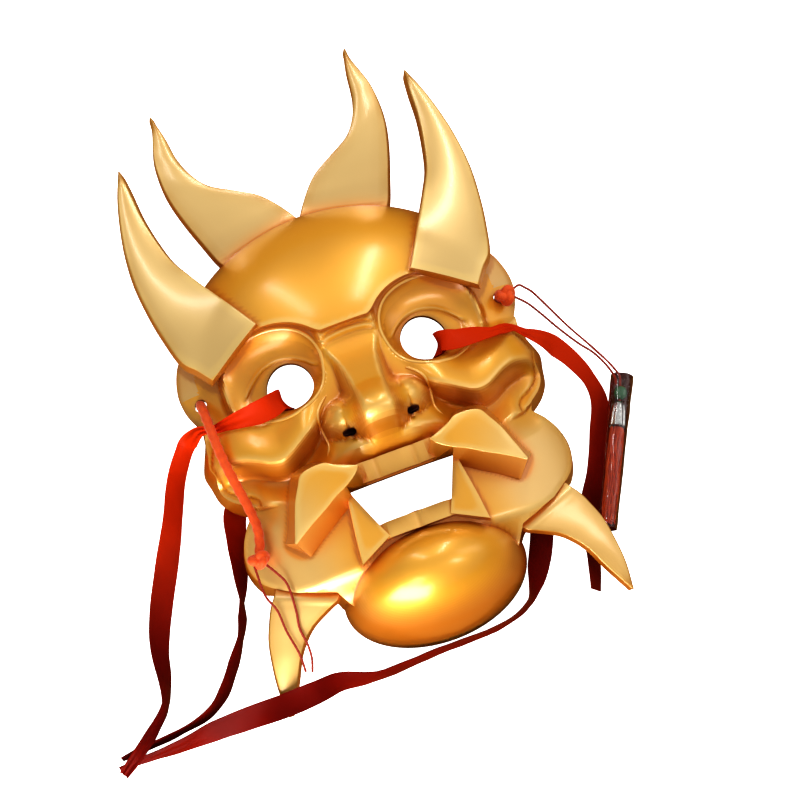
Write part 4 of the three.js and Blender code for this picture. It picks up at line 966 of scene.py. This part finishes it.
cord_line = centripetal(EAR_CORD, 120)
ear_cord = finished("ear_cord_left", laid_cord("ear_cord", cord_line, EAR_CORD_RADIUS, 3, 16),
                    ["ear_cord"], orange, 60)
left_knot = finished("ear_knot_left", knot_mesh("knot", LEFT_KNOT, KNOT_STRAND),
                     ["knot_left"], orange, 60)
tuple(placed(cord_line[0]))
round(length_of(placed(cord_line)), 3)
placed(cord_line).tolist()
knot_end_line = [(KNOT_END["x"], KNOT_END["y"], z) for z in np.linspace(RIGHT_KNOT["z"], KNOT_END["low"], 12)]
right_knot_mesh = combined("right_knot", knot_mesh("knot", RIGHT_KNOT, KNOT_STRAND),
                           [("UNION", tube_mesh("end", knot_end_line, KNOT_END["radius"], 16))])
finished("ear_knot_right", right_knot_mesh, ["knot_right"], orange, 60)

# Thin strings.
# Twisted red thread: two ends hang below the left knot, and two run from the right knot to the pendant.
THREAD_RADIUS = 0.65
LEFT_STRINGS = {
    "string_left_a": [[-78, -77.6, 40.8], [-73.8, -84.4, 40.6], [-70.9, -90.8, 40], [-71.1, -104.3, 36.4],
                      [-72.5, -113.3, 32.6], [-71.5, -121.8, 29.8], [-72, -128.7, 27.4], [-74, -134.8, 25.8]],
    "string_left_b": [[-83, -77.4, 39.6], [-82.8, -93.1, 37.4], [-79.9, -101, 35.8], [-79, -112.5, 32.4],
                      [-76.9, -124.7, 29], [-77, -133.6, 26.6]],
}
RIGHT_STRINGS = {
    "string_right_a": [[87.6, 12.2, 32], [92.6, 13.9, 30.8], [94.9, 12.4, 29], [97.9, 9.8, 26.5],
                       [101.6, 4.6, 22], [111.2, -11.8, 13], [119.1, -25.1, 9], [125.3, -37.9, 7.6],
                       [126.9, -44.4, 7.4], [125.6, -48.6, 7.3]],
    "string_right_b": [[87.4, 9.4, 31.6], [93.9, 4.9, 25], [98.8, -0.3, 19], [105.4, -9.6, 13],
                       [113.1, -20.5, 9], [119.1, -28.1, 7.4], [123.4, -37.6, 6.4], [124.6, -44, 6.2],
                       [123.6, -48, 6.4]],
}
PENDANT_FROM = np.array([128.2, -44.6, 7])
PENDANT_TO = np.array([90.4, -118, 13.2])
pendant_line = (PENDANT_TO - PENDANT_FROM) / np.linalg.norm(PENDANT_TO - PENDANT_FROM)
BEAD_AT, BEAD_RADIUS = 9.2, 3.7
CAP_AT, TASSEL_AT, TASSEL_LENGTH, STRING_END = 14.2, 28.4, 50.6, 28

red_thread = finish_of(
    "red_thread", (0.42, 0.045, 0.018), (0.27, 0.02, 0.008), 500, 4000, 0.5, Metallic=0.0, Roughness=0.6)
strings = {}
string_lines = {}
for name, route in {**LEFT_STRINGS, **RIGHT_STRINGS}.items():
    route = np.asarray(route, float)
    if name == "string_right_a":
        threaded = [PENDANT_FROM + pendant_line * at for at in (BEAD_AT, 15, 21, STRING_END)]
        route = np.vstack([route, threaded])
    line = centripetal(route, 90)
    strings[name] = finished(name + "_thread", laid_cord(name, line, THREAD_RADIUS, 2, 5),
                             [name], red_thread, 60)
    string_lines[name] = placed(line)

# Pendant.
# A green glass bead, a silver bell cap and a red tassel on the strings, in a sleeve of clear film.
CAP_PROFILE = [[0, 0], [0.9, 0], [1.7, 0.1], [2.2, 0.7], [2.75, 1.6], [3.1, 3], [3.5, 5], [3.75, 7], [3.9, 9],
               [4.05, 11.5], [4.25, 13.1], [4.2, 13.5], [3.8, 13.5], [3.55, 12.6], [3.3, 9.5], [2.9, 6],
               [1.6, 4.4], [0, 4]]
CAP_GROWTH, CAP_FLUTES, FLUTE_DEPTH = 1.1, 10, 0.045
BEAD_BORE = 0.8
SLEEVE_LENGTH, SLEEVE_MOUTH, SLEEVE_END, SLEEVE_FILM = 82, 6.05, 4.95, 0.25


pendant_side = np.cross(pendant_line, (0, 0, 1))
pendant_side /= np.linalg.norm(pendant_side)
pendant_up = np.cross(pendant_line, pendant_side)


def turned_mesh(name, profile, sides, at, shape):
    """A body turned on the pendant's line. shape(radius, height, turn) gives the radius on each side."""
    rows = []
    points = []
    for radius, height in profile:
        if radius == 0:
            rows.append([len(points)] * sides)
            points.append(PENDANT_FROM + pendant_line * (at + height))
            continue
        rows.append(list(range(len(points), len(points) + sides)))
        for k in range(sides):
            turn = 2 * math.pi * k / sides
            outward = math.cos(turn) * pendant_side + math.sin(turn) * pendant_up
            points.append(PENDANT_FROM + pendant_line * (at + height) + shape(radius, height, turn) * outward)
    faces = []
    closed = profile[0][0] > 0
    for a, b in zip(rows, rows[1:] + ([rows[0]] if closed else [])):
        for k in range(sides):
            m = (k + 1) % sides
            corner = list(dict.fromkeys([a[k], a[m], b[m], b[k]]))
            if len(corner) > 2:
                faces.append(corner)
    return mesh_of(name, points, faces)


glass = finish_of(
    "green_glass", (0.05, 0.22, 0.085), (0.02, 0.11, 0.04), 400, 900, 0.05,
    Metallic=0.0, Roughness=0.08, Coat_Weight=0.6)
silver = finish_of(
    "silver_metal", (0.72, 0.72, 0.70), (0.42, 0.42, 0.42), 500, 1800, 0.25, Metallic=1.0, Roughness=0.24)
yarn = finish_of(
    "red_yarn", (0.95, 0.13, 0.006), (0.50, 0.02, 0.003), 300, 3000, 0.4, Metallic=0.0, Roughness=0.4)
film = finish_of(
    "clear_film", (1.0, 1.0, 1.0), (0.97, 0.97, 0.97), 60, 400, 0.12,
    Metallic=0.0, Roughness=0.03, IOR=1.4, Transmission_Weight=1.0)



def cut_side(radius, height, turn):
    return radius * (1 - 0.03 * abs(math.sin(4 * turn)))


def fluted(radius, height, turn):
    return CAP_GROWTH * radius * (1 + FLUTE_DEPTH * math.cos(CAP_FLUTES * turn) * min(1, radius / 3))


bead_profile = [[BEAD_RADIUS * math.sin(a), -BEAD_RADIUS * math.cos(a)]
                for a in np.linspace(0.26, math.pi - 0.26, 18)]
bead_profile += [[BEAD_BORE, BEAD_RADIUS * 0.9], [BEAD_BORE, -BEAD_RADIUS * 0.9]]
bead = finished("glass_bead", turned_mesh("bead", bead_profile, 36, BEAD_AT, cut_side),
                ["bead"], glass, 40)
bell_cap = finished("bell_cap_silver", turned_mesh("cap", CAP_PROFILE, 64, CAP_AT, fluted),
                    ["bell_cap"], silver, 40)

STRANDS, STRAND_RADIUS, GOLDEN_TURN = 54, 0.48, 2.39996
rng = np.random.default_rng(7)
yarn_points, yarn_faces = [], []
for k in range(STRANDS):
    ring = math.sqrt((k + 0.5) / STRANDS)
    turn = k * GOLDEN_TURN
    sway, beat = rng.uniform(0.1, 0.3), rng.uniform(0.12, 0.3)
    s = np.linspace(0, 1, 26)
    radius = ring * (3.3 + 3.2 * s**0.6 - 2.75 * s) - 0.1
    angle = turn + sway * np.sin(beat * s * TASSEL_LENGTH + k)
    end = TASSEL_LENGTH - (0.2 if ring > 0.9 else rng.uniform(0.2, 2.2))
    line = (PENDANT_FROM + pendant_line * TASSEL_AT + pendant_line * (s * end)[:, None]
            + (radius * np.cos(angle))[:, None] * pendant_side
            + (radius * np.sin(angle))[:, None] * pendant_up)
    strand = tube_mesh("strand", line, STRAND_RADIUS, 7)
    base = len(yarn_points)
    yarn_points += [tuple(v.co) for v in strand.vertices]
    yarn_faces += [[base + i for i in f.vertices] for f in strand.polygons]
    bpy.data.meshes.remove(strand)
tassel = finished("tassel_yarn", mesh_of("tassel", yarn_points, yarn_faces), ["tassel"], yarn, 60)

sleeve_heights = np.linspace(0, SLEEVE_LENGTH, 60)


def crumple(radius, height, turn):
    spot = Vector((math.cos(turn) * 1.6, math.sin(turn) * 1.6, height * 0.12))
    return radius + 0.32 * noise.noise(spot) - 0.12 * abs(math.sin(turn * 3 + height * 0.05))


outer = [[SLEEVE_MOUTH + (SLEEVE_END - SLEEVE_MOUTH) * h / SLEEVE_LENGTH, h] for h in sleeve_heights]
inner = [[r - SLEEVE_FILM, h] for r, h in outer[::-1]]
film_sleeve = finished("film_sleeve_clear", turned_mesh("sleeve", outer + inner, 48, 0, crumple),
                       ["film_sleeve"], film, 60)

for name, piece in strings.items():
    line = string_lines[name]
    tuple(line[0])

# Studio.
# A plain pale floor and soft light: two tall narrow boxes beyond the crown and four broad ones round the mask.
# Only the camera sees the floor bright. The gold mirrors a dull warm floor, and the film shows a dark one.
floor_mesh = bpy.data.meshes.new("studio_floor")
floor_mesh.from_pydata([(-6, -6, 0), (6, -6, 0), (6, 6, 0), (-6, 6, 0)], [], [(0, 1, 2, 3)])
floor = bpy.data.objects.new("studio_floor", floor_mesh)
floor.location.z = -0.0002
bpy.context.collection.objects.link(floor)
pale_floor = finish_of(
    "pale_floor", (0.93, 0.93, 0.925), (0.91, 0.91, 0.905), 3, 60, 0.0, Metallic=0.0, Roughness=0.9)
MIRRORED_FLOOR, FLOOR_IN_FILM = (0.50, 0.28, 0.08), (0.07, 0.014, 0.010)
floor_tree = pale_floor.node_tree
floor_surface = floor_tree.nodes["Principled BSDF"]
floor_glow = wired(floor_tree, "ShaderNodeEmission", {"Color": (1, 1, 1, 1), "Strength": 2.2})
seen = wired(floor_tree, "ShaderNodeLightPath")
lit_floor = wired(floor_tree, "ShaderNodeAddShader", {},
                  {0: floor_surface.outputs[0], 1: floor_glow.outputs[0]})
dull_tone = wired(floor_tree, "ShaderNodeMix", {"data_type": "RGBA"},
                  {"Factor": seen.outputs["Is Transmission Ray"]})
dull_tone.inputs["A"].default_value = (*MIRRORED_FLOOR, 1)
dull_tone.inputs["B"].default_value = (*FLOOR_IN_FILM, 1)
dull_floor = wired(floor_tree, "ShaderNodeBsdfDiffuse", {}, {"Color": dull_tone.outputs["Result"]})
either = wired(floor_tree, "ShaderNodeMixShader", {},
               {0: seen.outputs["Is Camera Ray"], 1: dull_floor.outputs[0], 2: lit_floor.outputs[0]})
floor_tree.links.new(either.outputs[0], floor_tree.nodes["Material Output"].inputs["Surface"])
floor_mesh.materials.append(pale_floor)


def softbox(name, spot, wide, tall, power, aim=(0, 0, 0.03)):
    lamp = bpy.data.lights.new(name, "AREA")
    lamp.shape, lamp.size, lamp.size_y, lamp.energy = "RECTANGLE", wide, tall, power
    box = bpy.data.objects.new(name, lamp)
    bpy.context.collection.objects.link(box)
    box.location = spot
    box.rotation_euler = (Vector(spot) - Vector(aim)).to_track_quat("Z", "Y").to_euler()


softbox("strip_left", (-0.36, 0.9, 0.8), 0.05, 1.0, 3.2)
softbox("strip_right", (0.46, 0.9, 0.8), 0.07, 1.0, 5.5)
softbox("low_left", (-0.62, -0.85, 0.6), 0.4, 0.5, 3.6)
softbox("card_left", (-0.24, -0.44, 0.09), 0.36, 0.2, 3.0, (0.03, -0.11, 0.03))
softbox("low_right", (0.68, -0.52, 0.9), 0.25, 0.35, 2)
softbox("side_right", (1.05, 0.0, 0.6), 0.5, 0.8, 1.5)
AIR_LOW, AIR_HIGH, AIR_SLANT = 0.42, 0.88, 0.28
world = bpy.data.worlds.new("studio_air")
world.use_nodes = True
air = world.node_tree
direction = wired(air, "ShaderNodeTexCoord")
height = wired(air, "ShaderNodeSeparateXYZ", {}, {"Vector": direction.outputs["Generated"]})
glow = wired(air, "ShaderNodeMapRange",
             {"interpolation_type": "SMOOTHSTEP", "From Min": -0.15, "From Max": 0.85,
              "To Min": AIR_LOW, "To Max": AIR_HIGH}, {"Value": height.outputs["Z"]})
slant = wired(air, "ShaderNodeMath", {"operation": "MULTIPLY_ADD", 1: AIR_SLANT, 2: 1.0},
              {0: height.outputs["X"]})
strength = wired(air, "ShaderNodeMath", {"operation": "MULTIPLY"},
                 {0: glow.outputs["Result"], 1: slant.outputs[0]})
air.nodes["Background"].inputs["Color"].default_value = (1, 0.985, 0.96, 1)
air.links.new(strength.outputs[0], air.nodes["Background"].inputs["Strength"])
bpy.context.scene.world = world
bpy.context.scene.view_settings.view_transform = "Standard"
bpy.context.scene.view_settings.look = "High Contrast"
bpy.context.scene.view_settings.exposure = -0.9
